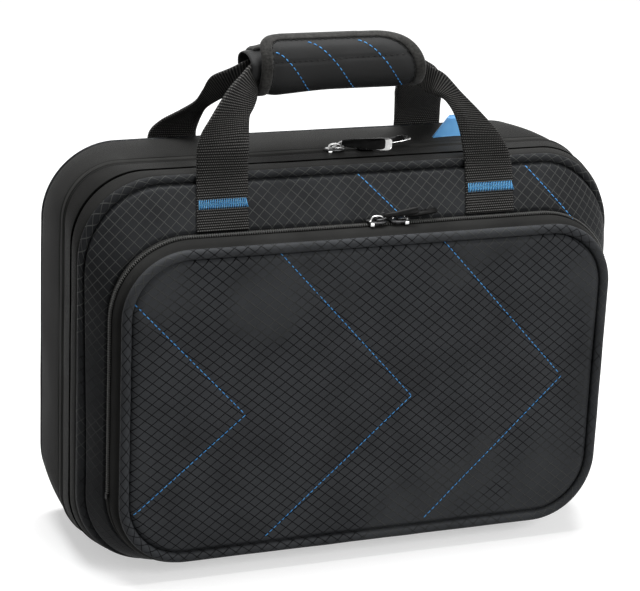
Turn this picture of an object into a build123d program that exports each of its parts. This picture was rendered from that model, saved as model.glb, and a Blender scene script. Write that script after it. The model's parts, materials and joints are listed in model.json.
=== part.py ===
"""Soft-sided clarinet case: two padded halves on a fabric hinge, zipped round three sides,
with a zipped front pocket and a pair of webbing handles joined by a wrap-round grip.

Millimetres, +Z up, X across the case. The case stands upright on its narrow base. The origin
is the bottom centre of the overall box; -Y is the pocket side, +Y is the back.
"""
from build123d import *
import math
import os

# ---- driving dimensions ------------------------------------------------------------------
WIDTH = 345.0            # body across X
HEIGHT = 243.5           # body, base to top wall
BACK_DEPTH = 53.0        # main zipper line to the back face
STRIP_DEPTH = 20.0       # zipper line to the seam of the front wall
FRONT_WALL_DEPTH = 12.0  # seam to the front face of the lid
SHOULDER_DEPTH = 25.0    # front face to the pocket zipper line
POCKET_BAND_DEPTH = 12.0 # pocket zipper line to the pocket face

BACK_RADIUS = 47.0       # corner radius seen from the front, at the back face
ZIP_RADIUS = 34.0        # at the main zipper
FRONT_RADIUS = 48.0      # at the front face

POCKET_SIDE = 11.5       # pocket zipper in from the body, at each side
POCKET_DROP = 31.5       # and below the top wall
POCKET_ZIP_BOTTOM = 6.0
POCKET_ZIP_RADIUS = 47.0
SIDE_DRAFT = 3.75        # pocket face in from the pocket zipper
TOP_DRAFT = 4.0
BOTTOM_DRAFT = 5.5
POCKET_RADIUS = 41.0
POCKET_SHIFT = 2.0       # the pocket sits a little to +X
POCKET_CREASE = 56.0     # height of the line on which the pocket front folds open

FABRIC = 1.5             # laminated outer fabric
PANEL = 2.0              # quilted back and pocket panels
CORE = 5.0               # foam side of each tray
BOARD = 3.0              # stiff foam board behind each panel
PLUSH = 1.0              # plush cloth over the foams
FIT = 0.2                # slip fit of the foam insert and lid pad
PAD = 10.0               # lid pad
INSERT_SETBACK = 4.0     # insert face behind the zipper line
RECESS_FLOOR = 4.0       # foam left under the joint recesses
RECESS_RADIUS = 8.0
PIPING_RADIUS = 2.2

TAPE_WIDTH = 8.0         # zipper tape on the back half, and at the pocket's rear edge
TAPE = 1.2               # tape thickness
COIL_WIDTH = 1.5
COIL = 1.3               # coil height
ZIP_GAP = 1.4            # clear way between the two coil rows, for the slider's post
HINGE_GAP = 0.3          # between the two leaves of the fabric spine, and at the crease
SPINE_LENGTH = 262.0     # unzipped stretch along the base
POCKET_TAPE_SETBACK = 6.7

WEBBING = 32.0
WEBBING_THICKNESS = 2.0
STRAP_HALF_SPACING = 86.5
FRONT_STRAP_SHIFT = 1.5
REAR_STRAP_SHIFT = -4.0
STRAP_RISE = 2.5         # the free loop starts this far above the top wall
REAR_STRAP_REACH = 35.5  # and the rear strap is sewn down to this far below it
REAR_STRAP_STEP = (13.2, 6.6)  # below the top wall: last flat on the panel, first on the piping
SEAT = 0.1               # webbing over what it is sewn to
TACK_DROP = 15.5         # middle of the bar tacks below the top wall
TACK = (29.0, 0.7, 4.5)  # bar tack: across, proud, up

GRIP_LENGTH = 111.0
GRIP_Y = 5.0
GRIP_RISE = 58.0         # grip centre above the top wall
GRIP_RADIUS = 17.5
GRIP_WALL = 5.0
GRIP_INNER = GRIP_RADIUS - GRIP_WALL
HOOK = 0.7               # hook and loop tapes
TONGUE = 1.2             # thin edge of the wrap under the flap
BAR_OFFSET = 5.5         # each strap's bar from the grip's centre
BAR_CLEARANCE = 0.3      # webbing to the wrap, and between hook and loop tapes
BAR_OVERHANG = 1.5       # straight webbing past each end of the grip
LEG_OUTER = 5.0          # halfway up a strap's leg: its outer edge in from the sewn centre
LEG_INNER = 20.0         # and its inner edge
LEG_TURN = 3.0           # half the height difference of those two edges

SLIDER = (12.0, 8.0, 1.2)     # plate along the zipper, across, thick
SLIDER_POST = (3.0, 0.8)
SLIDER_CLEARANCE = 0.3
LUG = (3.0, 1.6, 1.6)         # outer radius, inner radius, width
PIN_RADIUS = 0.6
PIN_HEIGHT = 0.85             # pin centre above the plate
ARM = (5.0, 0.9, 1.0)         # bail arm length, width, thickness
ARM_SPREAD = 1.55             # arm centre from the slider's middle
TAB_THICKNESS = 1.2
TAB_LAP = 0.5                 # tab over the ends of the arms

TAG = (23.0, 1.0, 17.0)
TAG_X = 82.0
TAG_SETBACK = 16.0            # behind the main zipper line

# ---- stations along Y ----------------------------------------------------------------------
DEPTH = BACK_DEPTH + STRIP_DEPTH + FRONT_WALL_DEPTH + SHOULDER_DEPTH + POCKET_BAND_DEPTH
FRONT_REACH = PIPING_RADIUS
BACK_REACH = PIPING_RADIUS + SEAT + WEBBING_THICKNESS
BACK_Y = (DEPTH + FRONT_REACH + BACK_REACH) / 2 - BACK_REACH
ZIP_Y = BACK_Y - BACK_DEPTH
SEAM_Y = ZIP_Y - STRIP_DEPTH
FRONT_Y = SEAM_Y - FRONT_WALL_DEPTH
POCKET_ZIP_Y = FRONT_Y - SHOULDER_DEPTH
POCKET_Y = POCKET_ZIP_Y - POCKET_BAND_DEPTH
SHOULDER_Y = POCKET_ZIP_Y + POCKET_TAPE_SETBACK

# ---- heights above the top wall ------------------------------------------------------------
STRAP_END_TOP = HEIGHT + STRAP_RISE
REAR_STRAP_BOTTOM = HEIGHT - REAR_STRAP_REACH
TACK_HEIGHT = HEIGHT - TACK_DROP
GRIP_Z = HEIGHT + GRIP_RISE

# ---- pocket outline ------------------------------------------------------------------------
POCKET_ZIP_WIDTH = WIDTH - 2 * POCKET_SIDE
POCKET_ZIP_TOP = HEIGHT - POCKET_DROP
BIG = 2 * (WIDTH + HEIGHT)   # reaches past the whole case
CUT = 1.0                    # how far a cutting solid runs past what it cuts


# ---- helpers -------------------------------------------------------------------------------
def outline(y, width, bottom, top, radius, shift=0.0):
    """Rounded rectangle facing -Y at station y."""
    plane = Plane(origin=(shift, y, (bottom + top) / 2), x_dir=(1, 0, 0), z_dir=(0, -1, 0))
    return (plane * RectangleRounded(width, top - bottom, radius)).face()


def body_radius(y):
    """Corner radius of the body at y: squarest at the zipper, rounder towards both faces."""
    if y >= ZIP_Y:
        return ZIP_RADIUS + (BACK_RADIUS - ZIP_RADIUS) * (y - ZIP_Y) / (BACK_Y - ZIP_Y)
    return ZIP_RADIUS + (FRONT_RADIUS - ZIP_RADIUS) * (ZIP_Y - y) / (ZIP_Y - FRONT_Y)


def body(y, inset=0.0):
    """Outline of the body at y, moved in by inset."""
    width = WIDTH - 2 * inset
    return outline(y, width, inset, HEIGHT - inset, body_radius(y) - inset)


def pocket(y, inset=0.0):
    """Outline of the pocket at y: constant behind its zipper, drawn in towards its face."""
    share = max(0.0, (POCKET_ZIP_Y - y) / POCKET_BAND_DEPTH)
    width = POCKET_ZIP_WIDTH - 2 * (SIDE_DRAFT * share + inset)
    bottom = POCKET_ZIP_BOTTOM + BOTTOM_DRAFT * share + inset
    top = POCKET_ZIP_TOP - TOP_DRAFT * share - inset
    radius = POCKET_ZIP_RADIUS + (POCKET_RADIUS - POCKET_ZIP_RADIUS) * share - inset
    return outline(y, width, bottom, top, radius, POCKET_SHIFT)


def frustum(face_a, face_b):
    return loft([face_a, face_b], ruled=True)


def band(section, y0, y1, outer, inner):
    """Closed band between two stations, from inset outer to inset inner."""
    solid = frustum(section(y0, outer), section(y1, outer))
    return solid - frustum(section(y0, inner), section(y1, inner))


def slab(low, high):
    """Everything between two heights."""
    return Pos(0, 0, (low + high) / 2) * Box(BIG, BIG, high - low)


def spine_zone():
    """The stretch of the base that has the fabric spine in place of the zipper."""
    return Pos(0, ZIP_Y, 0) * Box(SPINE_LENGTH, BIG, ZIP_RADIUS)


def piping(section, y, *blocks):
    """Round piping on the rim of a face, flush with the wall. Only the bead that stands
    outside the given solid blocks remains."""
    path = section(y, PIPING_RADIUS).outer_wire()
    profile = Plane(origin=path @ 0, z_dir=path % 0) * Circle(PIPING_RADIUS)
    bead = sweep(profile.face(), path=path)
    for block in blocks:
        bead = bead - block
    return bead


def ribbon(edges, thickness=WEBBING_THICKNESS):
    """Flat strip through pairs of edge points (one edge, other edge), thick along +Y."""
    back = Vector(0, thickness, 0)
    pairs = [(Vector(*a), Vector(*b)) for a, b in edges]
    faces = []

    def facet(*points):
        faces.append(Face(Wire.make_polygon(points, close=True)))

    for (a0, b0), (a1, b1) in zip(pairs, pairs[1:]):
        facet(a0, b0, b1)
        facet(a0, b1, a1)
        facet(a0 + back, b1 + back, b0 + back)
        facet(a0 + back, a1 + back, b1 + back)
        facet(a0, a1, a1 + back, a0 + back)
        facet(b0, b0 + back, b1 + back, b1)
    for a, b in (pairs[0], pairs[-1]):
        facet(a, b, b + back, a + back)
    return Solid(Shell(faces))


def group(solids):
    return Compound(children=list(solids))


# ---- back half -----------------------------------------------------------------------------
def back_wall():
    return band(body, ZIP_Y + TAPE_WIDTH, BACK_Y - PANEL, 0, FABRIC)


def back_panel():
    return frustum(body(BACK_Y - PANEL), body(BACK_Y))


def side_foam(y_rim, y_floor):
    """Foam lining the walls of one half, CORE thick."""
    return band(body, y_rim, y_floor, FABRIC, FABRIC + CORE)


def floor_board(y0, y1):
    """Stiff board that fills one half behind its panel."""
    return frustum(body(y0, FABRIC), body(y1, FABRIC))


def zip_half(side):
    """Zipper tape and coil row of the main zipper, side +1 on the back, -1 on the lid."""
    edge = ZIP_Y + side * ZIP_GAP / 2
    far = ZIP_Y + TAPE_WIDTH if side > 0 else SEAM_Y
    tape = band(body, edge, far, 0, TAPE) - spine_zone()
    coil = band(body, edge, edge + side * COIL_WIDTH, TAPE, TAPE + COIL) - spine_zone()
    return tape, coil


def spine_leaf(side):
    """Half of the fabric spine that joins the two halves along the base."""
    edge = ZIP_Y + side * HINGE_GAP / 2
    far = ZIP_Y + TAPE_WIDTH if side > 0 else SEAM_Y
    return Pos(0, (edge + far) / 2, TAPE / 2) * Box(SPINE_LENGTH, abs(far - edge), TAPE)


# ---- fitted interior -----------------------------------------------------------------------
INNER = FABRIC + CORE + FIT
INSERT_WIDTH = WIDTH - 2 * INNER
INSERT_HEIGHT = HEIGHT - 2 * INNER
INSERT_FACE_Y = ZIP_Y + INSERT_SETBACK
BACK_FLOOR_Y = BACK_Y - PANEL - BOARD
LID_FLOOR_Y = FRONT_Y + BOARD

LOWER_JOINT = (262.0, 40.0)
UPPER_JOINT = (232.0, 38.0)
BELL = (112.0, 82.0)
MOUTHPIECE = (94.0, 37.0)
BARREL = (70.0, 37.0)
ACCESSORIES = (78.0, 82.0)


def recess_layout():
    """Name: (x, z, width, height, depth) of each recess in the insert."""
    rib = (INSERT_HEIGHT - LOWER_JOINT[1] - UPPER_JOINT[1] - BELL[1]) / 4
    side_rib = (INSERT_WIDTH - BELL[0] - MOUTHPIECE[0] - ACCESSORIES[0]) / 4
    left = -INSERT_WIDTH / 2 + side_rib
    right = INSERT_WIDTH / 2 - side_rib
    top = HEIGHT - INNER - rib
    base = INNER + rib
    shallow = BACK_FLOOR_Y - INSERT_FACE_Y - RECESS_FLOOR
    through = BACK_FLOOR_Y - INSERT_FACE_Y
    middle = (left + BELL[0] + right - ACCESSORIES[0]) / 2
    return {
        "lower_joint": (0, top - LOWER_JOINT[1] / 2, *LOWER_JOINT, shallow),
        "upper_joint": (0, top - LOWER_JOINT[1] - rib - UPPER_JOINT[1] / 2, *UPPER_JOINT, shallow),
        "bell": (left + BELL[0] / 2, base + BELL[1] / 2, *BELL, through),
        "mouthpiece": (middle, base + MOUTHPIECE[1] / 2, *MOUTHPIECE, shallow),
        "barrel": (middle, base + BELL[1] - BARREL[1] / 2, *BARREL, shallow),
        "accessories": (right - ACCESSORIES[0] / 2, base + BELL[1] / 2, *ACCESSORIES, shallow),
    }


def recess(name, y0, y1):
    """Prism of one recess between two stations."""
    x, z, width, height, _ = recess_layout()[name]
    mouth = outline(y0, width, z - height / 2, z + height / 2, RECESS_RADIUS, x)
    return extrude(mouth, amount=y1 - y0, dir=(0, 1, 0))


def instrument_insert():
    block = frustum(body(INSERT_FACE_Y, INNER), body(BACK_FLOOR_Y, INNER))
    for name, (*_, depth) in recess_layout().items():
        block = block - recess(name, INSERT_FACE_Y - CUT, INSERT_FACE_Y + depth)
    return block


def insert_plush():
    sheet = frustum(body(INSERT_FACE_Y - PLUSH, INNER), body(INSERT_FACE_Y, INNER))
    for name in recess_layout():
        sheet = sheet - recess(name, INSERT_FACE_Y - PLUSH - CUT, INSERT_FACE_Y + CUT)
    return sheet


def lid_pad(y0, y1):
    """Foam or plush layer of the lid, cut away over the bell."""
    layer = frustum(body(y0, INNER), body(y1, INNER))
    return layer - recess("bell", y0 - CUT, y1 + CUT)


# ---- lid front and pocket ------------------------------------------------------------------
def front_wall():
    return band(body, SEAM_Y, FRONT_Y, 0, FABRIC)


def front_panel():
    """Ripstop shoulder that slopes from the lid's front face forward to the pocket zipper."""
    outer = frustum(body(FRONT_Y), pocket(SHOULDER_Y))
    return outer - frustum(body(FRONT_Y, FABRIC), pocket(SHOULDER_Y, FABRIC))


def flap_zone():
    return slab(POCKET_CREASE + HINGE_GAP / 2, 2 * HEIGHT)


def base_zone():
    return slab(-HEIGHT, POCKET_CREASE - HINGE_GAP / 2)


def pocket_rear_tape():
    return band(pocket, SHOULDER_Y, POCKET_ZIP_Y + ZIP_GAP / 2, 0, TAPE) & flap_zone()


def pocket_coil(side):
    edge = POCKET_ZIP_Y + side * ZIP_GAP / 2
    return band(pocket, edge, edge + side * COIL_WIDTH, -COIL, 0) & flap_zone()


def pocket_flap_band():
    return band(pocket, POCKET_ZIP_Y - ZIP_GAP / 2, POCKET_Y + PANEL, 0, FABRIC) & flap_zone()


def pocket_base_band():
    """The band below the crease, unbroken from the shoulder to the pocket face."""
    rear = band(pocket, SHOULDER_Y, POCKET_ZIP_Y, 0, FABRIC)
    front = band(pocket, POCKET_ZIP_Y, POCKET_Y + PANEL, 0, FABRIC)
    return (rear + front) & base_zone()


def pocket_panel():
    return frustum(pocket(POCKET_Y + PANEL), pocket(POCKET_Y))


def pocket_zip_stops():
    """Stitched ends of the pocket zipper, just below the crease."""
    half = POCKET_ZIP_WIDTH / 2
    stop = Box(COIL, 2 * COIL_WIDTH + ZIP_GAP, 2 * COIL_WIDTH)
    z = POCKET_CREASE - HINGE_GAP / 2 - COIL_WIDTH
    return group(Pos(POCKET_SHIFT + side * (half + COIL / 2), POCKET_ZIP_Y, z) * stop
                 for side in (-1, 1))


# ---- webbing, tacks and tag ----------------------------------------------------------------
FALL = (FRONT_Y - SHOULDER_Y) / POCKET_DROP      # forward run of the shoulder per drop


def shoulder_y(z):
    """Outer face of the shoulder, above the pocket, at height z."""
    return FRONT_Y - FALL * (HEIGHT - z)


SLOPE = math.hypot(FALL, 1)
PIPING_PROUD = PIPING_RADIUS * (SLOPE - FALL)    # piping ahead of the slope's line, along Y
FRONT_STRAP_BOTTOM = POCKET_ZIP_TOP + COIL + SLIDER_CLEARANCE


def front_strap_y(z):
    """Front face of the webbing over the shoulder: close at its end, over the piping on top."""
    share = (z - FRONT_STRAP_BOTTOM) / (HEIGHT - FRONT_STRAP_BOTTOM)
    lift = SEAT * SLOPE + PIPING_PROUD * share
    return shoulder_y(z) - lift - WEBBING_THICKNESS


def strap_centres(shift):
    return (shift - STRAP_HALF_SPACING, shift + STRAP_HALF_SPACING)


def flat_strip(x, stations):
    """Webbing width at x, through (y, z) stations."""
    return ribbon([((x - WEBBING / 2, y, z), (x + WEBBING / 2, y, z)) for y, z in stations])


def front_strap_ends():
    stations = [(front_strap_y(z), z) for z in (FRONT_STRAP_BOTTOM, STRAP_END_TOP)]
    return group(flat_strip(x, stations) for x in strap_centres(FRONT_STRAP_SHIFT))


REAR_STRAP_Y = BACK_Y + PIPING_RADIUS + SEAT


def rear_strap_ends():
    flat, over = REAR_STRAP_STEP
    stations = [(BACK_Y + SEAT, REAR_STRAP_BOTTOM), (BACK_Y + SEAT, HEIGHT - flat),
                (REAR_STRAP_Y, HEIGHT - over), (REAR_STRAP_Y, STRAP_END_TOP)]
    return group(flat_strip(x, stations) for x in strap_centres(REAR_STRAP_SHIFT))


def bar_tacks(centres, y, tilt):
    """Thread bars across the webbing."""
    width, proud, height = TACK
    return group(Pos(x, y, TACK_HEIGHT) * Rot(tilt, 0, 0) * Pos(0, -proud / 2, 0)
                 * Box(width, proud, height) for x in centres)


def front_bar_tacks():
    rise = STRAP_END_TOP - FRONT_STRAP_BOTTOM
    run = front_strap_y(STRAP_END_TOP) - front_strap_y(FRONT_STRAP_BOTTOM)
    tilt = -math.degrees(math.atan2(run, rise))
    return bar_tacks(strap_centres(FRONT_STRAP_SHIFT), front_strap_y(TACK_HEIGHT), tilt)


def rear_bar_tacks():
    y = BACK_Y + SEAT + WEBBING_THICKNESS + TACK[1]
    return bar_tacks(strap_centres(REAR_STRAP_SHIFT), y, 0)


def strap_loop(base_y, shift, bar_y):
    """Free loop of webbing: two legs that turn into a folded bar through the grip."""
    half = GRIP_LENGTH / 2 + BAR_OVERHANG
    corner = BAR_OFFSET + WEBBING_THICKNESS / 2
    rise = math.sqrt((GRIP_INNER - BAR_CLEARANCE) ** 2 - corner ** 2)
    z0 = STRAP_END_TOP + HINGE_GAP
    middle = (z0 + GRIP_Z) / 2
    middle_y = (base_y + bar_y) / 2
    edges = []
    for side, centre in zip((-1, 1), strap_centres(shift)):
        outer, inner = centre + side * WEBBING / 2, centre - side * WEBBING / 2
        leg = [((outer, base_y, z0), (inner, base_y, z0)),
               ((centre - side * LEG_OUTER, middle_y, middle + LEG_TURN),
                (centre - side * LEG_INNER, middle_y, middle - LEG_TURN)),
               ((side * half, bar_y, GRIP_Z + rise), (side * half, bar_y, GRIP_Z - rise))]
        edges += leg if side < 0 else leg[::-1]
    return ribbon(edges)


def front_strap():
    y = GRIP_Y - BAR_OFFSET - WEBBING_THICKNESS / 2
    return strap_loop(front_strap_y(STRAP_END_TOP), FRONT_STRAP_SHIFT, y)


def rear_strap():
    y = GRIP_Y + BAR_OFFSET - WEBBING_THICKNESS / 2
    return strap_loop(REAR_STRAP_Y, REAR_STRAP_SHIFT, y)


def side_tag():
    return Pos(TAG_X, ZIP_Y + TAG_SETBACK, HEIGHT + TAG[2] / 2) * Box(*TAG)


# ---- grip ----------------------------------------------------------------------------------
# Radii from the webbing outwards: tongue, loop tape, hook tape, flap.
TONGUE_OUTER = GRIP_INNER + TONGUE
LOOP_INNER = TONGUE_OUTER + SEAT
LOOP_OUTER = LOOP_INNER + HOOK
HOOK_INNER = LOOP_OUTER + BAR_CLEARANCE
HOOK_OUTER = HOOK_INNER + HOOK
FLAP_INNER = HOOK_OUTER + SEAT
FLAP_FRONT_ANGLE = 225.0 # degrees from +Y: the line low on the front on which the flap opens
FLAP_BACK_ANGLE = 98.0   # its free edge, on top
FLAP_SEAM_ANGLE = 2.0    # open angle at either edge of the flap
TAPE_FRONT_ANGLE = 165.0 # the tapes' edges
TAPE_BACK_ANGLE = 108.0
TONGUE_ANGLE = 205.0     # lower edge of the tongue
FULL_TURN_ANGLE = 360.0


def arc_shell(inner, outer, start, end):
    """Part of a tube along X round the grip's centre. Angles run from +Y towards +Z."""
    length = GRIP_LENGTH
    plane = Plane(origin=(-length / 2, GRIP_Y, GRIP_Z), x_dir=(0, 1, 0), z_dir=(1, 0, 0))
    sweep_angle = end - start

    def edge_point(radius, angle):
        return (radius * math.cos(math.radians(angle)), radius * math.sin(math.radians(angle)))

    a, b = edge_point(inner, start), edge_point(outer, start)
    c, d = edge_point(outer, end), edge_point(inner, end)
    boundary = [Line(a, b), CenterArc((0, 0), outer, start, sweep_angle),
                Line(c, d), CenterArc((0, 0), inner, start, sweep_angle)]
    return extrude(plane * make_face(Curve() + boundary), amount=length)


def grip_wrap():
    """Padded wrap: the full wall from the flap's lower line round the bottom and back to the
    top, with a thinner tongue that runs on down inside the flap."""
    front_edge = FLAP_FRONT_ANGLE + FLAP_SEAM_ANGLE / 2
    back_edge = FLAP_BACK_ANGLE - FLAP_SEAM_ANGLE
    wall = arc_shell(GRIP_INNER, GRIP_RADIUS, front_edge, FULL_TURN_ANGLE + back_edge)
    tongue = arc_shell(GRIP_INNER, TONGUE_OUTER, back_edge - FLAP_SEAM_ANGLE, TONGUE_ANGLE)
    return wall + tongue


def grip_loop_tape():
    return arc_shell(LOOP_INNER, LOOP_OUTER, TAPE_BACK_ANGLE, TAPE_FRONT_ANGLE)


def grip_flap():
    return arc_shell(FLAP_INNER, GRIP_RADIUS, FLAP_BACK_ANGLE, FLAP_FRONT_ANGLE)


def grip_hook_tape():
    return arc_shell(HOOK_INNER, HOOK_OUTER, TAPE_BACK_ANGLE, TAPE_FRONT_ANGLE)


# ---- sliders and pullers -------------------------------------------------------------------
def slider(x, y, z, above, below):
    """Zipper slider at a point of the tape: plates above and below, joined by a thin post."""
    length, across, thick = SLIDER
    blank = RectangleRounded(length, across, across / 3)
    top = Pos(0, 0, above) * extrude(blank, amount=thick)
    bottom = Pos(0, 0, -below - thick) * extrude(blank, amount=thick)
    post_height = above + below
    post = Pos(0, 0, (above - below) / 2) * Box(*SLIDER_POST, post_height)
    outer, inner, width = LUG
    ring = Cylinder(outer, width, rotation=(90, 0, 0)) - Cylinder(inner, width, rotation=(90, 0, 0))
    lug = ring & Pos(0, 0, outer / 2) * Box(3 * outer, width, outer)
    return Pos(x, y, z) * (top + bottom + post + Pos(0, 0, above + thick) * lug)


def puller(x, y, z, above, length, width, yaw, pitch):
    """Bail and pull tab on the pin through the slider's lug, resting towards +X."""
    arm_length, arm_width, arm_thick = ARM
    pin = Cylinder(PIN_RADIUS, 2 * ARM_SPREAD + arm_width, rotation=(90, 0, 0))
    shape = pin
    for side in (-1, 1):
        shape += Pos(arm_length / 2, side * ARM_SPREAD, 0) * Box(arm_length, arm_width, arm_thick)
    tab = extrude(RectangleRounded(length, width, width / 4), amount=TAB_THICKNESS)
    seated = Pos(arm_length - TAB_LAP, 0, -TAB_THICKNESS / 2) * Rot(0, 0, yaw) * Pos(length / 2, 0, 0)
    shape += seated * tab
    pin_z = z + above + SLIDER[2] + PIN_HEIGHT
    return Pos(x, y, pin_z) * Rot(0, -pitch, 0) * shape


MAIN_ABOVE = SLIDER_CLEARANCE
MAIN_BELOW = TAPE + COIL + SLIDER_CLEARANCE
POCKET_ABOVE = COIL + SLIDER_CLEARANCE
BAND_FALL = TOP_DRAFT / POCKET_BAND_DEPTH * SLIDER[1] / 2
POCKET_BELOW = FABRIC + BAND_FALL + SLIDER_CLEARANCE

# name: x, tab length, tab width, yaw, pitch
MAIN_SLIDERS = {"left": (-1.0, 31.0, 7.0, -22.0, 8.0), "right": (20.0, 26.0, 7.0, 8.0, 5.0)}
POCKET_SLIDERS = {"left": (5.5, 22.0, 5.0, -30.0, 14.0), "right": (19.5, 22.0, 5.0, 6.0, 5.0)}


def slider_sets():
    """All sliders and pullers by node name."""
    made = {}
    rows = (("main", MAIN_SLIDERS, ZIP_Y, HEIGHT, MAIN_ABOVE, MAIN_BELOW),
            ("pocket", POCKET_SLIDERS, POCKET_ZIP_Y, POCKET_ZIP_TOP, POCKET_ABOVE, POCKET_BELOW))
    for zipper, places, y, z, above, below in rows:
        for side, (x, length, width, yaw, pitch) in places.items():
            made[f"{zipper}_slider_{side}"] = slider(x, y, z, above, below)
            made[f"{zipper}_puller_{side}"] = puller(x, y, z, above, length, width, yaw, pitch)
    return made


# ---- the whole case ------------------------------------------------------------------------
def build():
    back_tape, back_coil = zip_half(1)
    front_tape, front_coil = zip_half(-1)
    face_panel = pocket_panel()
    pocket_bead = piping(pocket, POCKET_Y, frustum(pocket(POCKET_ZIP_Y), pocket(POCKET_Y)))
    pad_y = LID_FLOOR_Y + PAD
    nodes = {
        "back_wall": back_wall(),
        "back_panel": back_panel(),
        "back_piping": piping(body, BACK_Y, frustum(body(ZIP_Y), body(BACK_Y))),
        "back_core": side_foam(ZIP_Y + TAPE_WIDTH, BACK_FLOOR_Y),
        "back_board": floor_board(BACK_FLOOR_Y, BACK_Y - PANEL),
        "back_zip_tape": back_tape,
        "back_zip_coil": back_coil,
        "back_spine_leaf": spine_leaf(1),
        "instrument_insert": instrument_insert(),
        "insert_plush": insert_plush(),
        "rear_strap_ends": rear_strap_ends(),
        "rear_bar_tacks": rear_bar_tacks(),
        "side_tag": side_tag(),
        "front_zip_tape": front_tape,
        "front_zip_coil": front_coil,
        "front_spine_leaf": spine_leaf(-1),
        "front_wall": front_wall(),
        "front_core": side_foam(ZIP_Y - TAPE_WIDTH, LID_FLOOR_Y),
        "front_board": floor_board(LID_FLOOR_Y, FRONT_Y),
        "lid_pad": lid_pad(LID_FLOOR_Y, pad_y),
        "lid_plush": lid_pad(pad_y, pad_y + PLUSH),
        "front_panel": front_panel(),
        "front_piping": piping(body, FRONT_Y, frustum(body(ZIP_Y), body(FRONT_Y)),
                               frustum(body(FRONT_Y), pocket(SHOULDER_Y))),
        "front_strap_ends": front_strap_ends(),
        "front_bar_tacks": front_bar_tacks(),
        "pocket_rear_tape": pocket_rear_tape(),
        "pocket_rear_coil": pocket_coil(1),
        "pocket_base_band": pocket_base_band(),
        "pocket_base_panel": face_panel & base_zone(),
        "pocket_base_piping": pocket_bead & base_zone(),
        "pocket_zip_stops": pocket_zip_stops(),
        "pocket_flap_band": pocket_flap_band(),
        "pocket_flap_panel": face_panel & flap_zone(),
        "pocket_flap_piping": pocket_bead & flap_zone(),
        "pocket_front_coil": pocket_coil(-1),
        "front_strap": front_strap(),
        "rear_strap": rear_strap(),
        "grip_wrap": grip_wrap(),
        "grip_loop_tape": grip_loop_tape(),
        "grip_flap": grip_flap(),
        "grip_hook_tape": grip_hook_tape(),
    }
    nodes.update(slider_sets())
    return nodes


os.makedirs("parts", exist_ok=True)
for node_name, shape in build().items():
    export_step(shape, f"parts/{node_name}.step")
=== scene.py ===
"""Looks of the soft-sided clarinet case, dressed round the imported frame.

Lengths are in millimetres and are turned into metres when a mesh is made. Places and depths in
the materials, the lights and the floor are in metres. X runs across the case, -Y towards the
pocket, +Z up.
"""
import json
import math

import bmesh
import bpy
import numpy as np
from mathutils import Matrix, Vector, noise
from mathutils.bvhtree import BVHTree


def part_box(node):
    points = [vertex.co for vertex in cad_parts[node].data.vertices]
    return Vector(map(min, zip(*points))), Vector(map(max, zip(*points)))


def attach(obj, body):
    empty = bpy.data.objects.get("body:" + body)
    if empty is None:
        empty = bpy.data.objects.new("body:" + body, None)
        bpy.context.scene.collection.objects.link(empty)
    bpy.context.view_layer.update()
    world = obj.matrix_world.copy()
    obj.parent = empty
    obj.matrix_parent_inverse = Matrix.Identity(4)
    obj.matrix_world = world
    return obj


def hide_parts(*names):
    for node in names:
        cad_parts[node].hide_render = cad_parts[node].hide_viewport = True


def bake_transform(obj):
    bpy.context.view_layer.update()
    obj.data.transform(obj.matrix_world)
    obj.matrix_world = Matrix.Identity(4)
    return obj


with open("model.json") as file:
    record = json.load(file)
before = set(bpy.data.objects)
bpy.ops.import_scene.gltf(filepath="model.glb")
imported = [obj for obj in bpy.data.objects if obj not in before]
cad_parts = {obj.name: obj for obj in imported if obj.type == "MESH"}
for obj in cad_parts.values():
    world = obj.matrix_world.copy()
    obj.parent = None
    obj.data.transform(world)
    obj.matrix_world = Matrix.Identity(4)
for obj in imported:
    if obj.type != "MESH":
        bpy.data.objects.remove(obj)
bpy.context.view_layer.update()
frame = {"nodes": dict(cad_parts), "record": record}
MM = 0.001


# ---- sizes read from the frame ----
def extent(node):
    """Lowest and highest corner of a CAD node, in mm."""
    low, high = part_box(node)
    return np.array(low) / MM, np.array(high) / MM


WALL_LOW, WALL_HIGH = extent("back_wall")
STRIP_LOW, STRIP_HIGH = extent("front_zip_tape")
REAR_TAPE_LOW, REAR_TAPE_HIGH = extent("back_zip_tape")
BASE_LOW, BASE_HIGH = extent("pocket_base_band")
TAPE_LOW, TAPE_HIGH = extent("pocket_rear_tape")
BACK_LOW, BACK_HIGH = extent("back_panel")
GRIP_LOW, GRIP_HIGH = extent("grip_wrap")
INSERT_LOW, INSERT_HIGH = extent("instrument_insert")
LID_PAD_LOW, LID_PAD_HIGH = extent("lid_pad")

WIDTH = WALL_HIGH[0] - WALL_LOW[0]
HEIGHT = WALL_HIGH[2]
BACK_Y = BACK_HIGH[1]
PANEL_BACK_Y = BACK_LOW[1]
ZIP_Y = (REAR_TAPE_LOW[1] + STRIP_HIGH[1]) / 2
TAPE_EDGE_Y = REAR_TAPE_HIGH[1]
SEAM_Y = STRIP_LOW[1]
FRONT_Y = extent("front_wall")[0][1]
SHOULDER_Y = TAPE_HIGH[1]
POCKET_Y = extent("pocket_flap_panel")[0][1]
STOP_HALF = 2.2          # half width of the stops, which straddle the pocket's zipper
POCKET_ZIP_Y = extent("pocket_zip_stops")[0][1] + STOP_HALF
CREASE_Z = (extent("pocket_flap_band")[0][2] + BASE_HIGH[2]) / 2
GRIP_Y = (GRIP_LOW[1] + GRIP_HIGH[1]) / 2
GRIP_Z = (GRIP_LOW[2] + extent("grip_flap")[1][2]) / 2
BACK_RADIUS = 47.0       # corner radii at the back, the main zipper and the lid's edge
ZIP_RADIUS = 34.0
FRONT_RADIUS = 48.0


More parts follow.
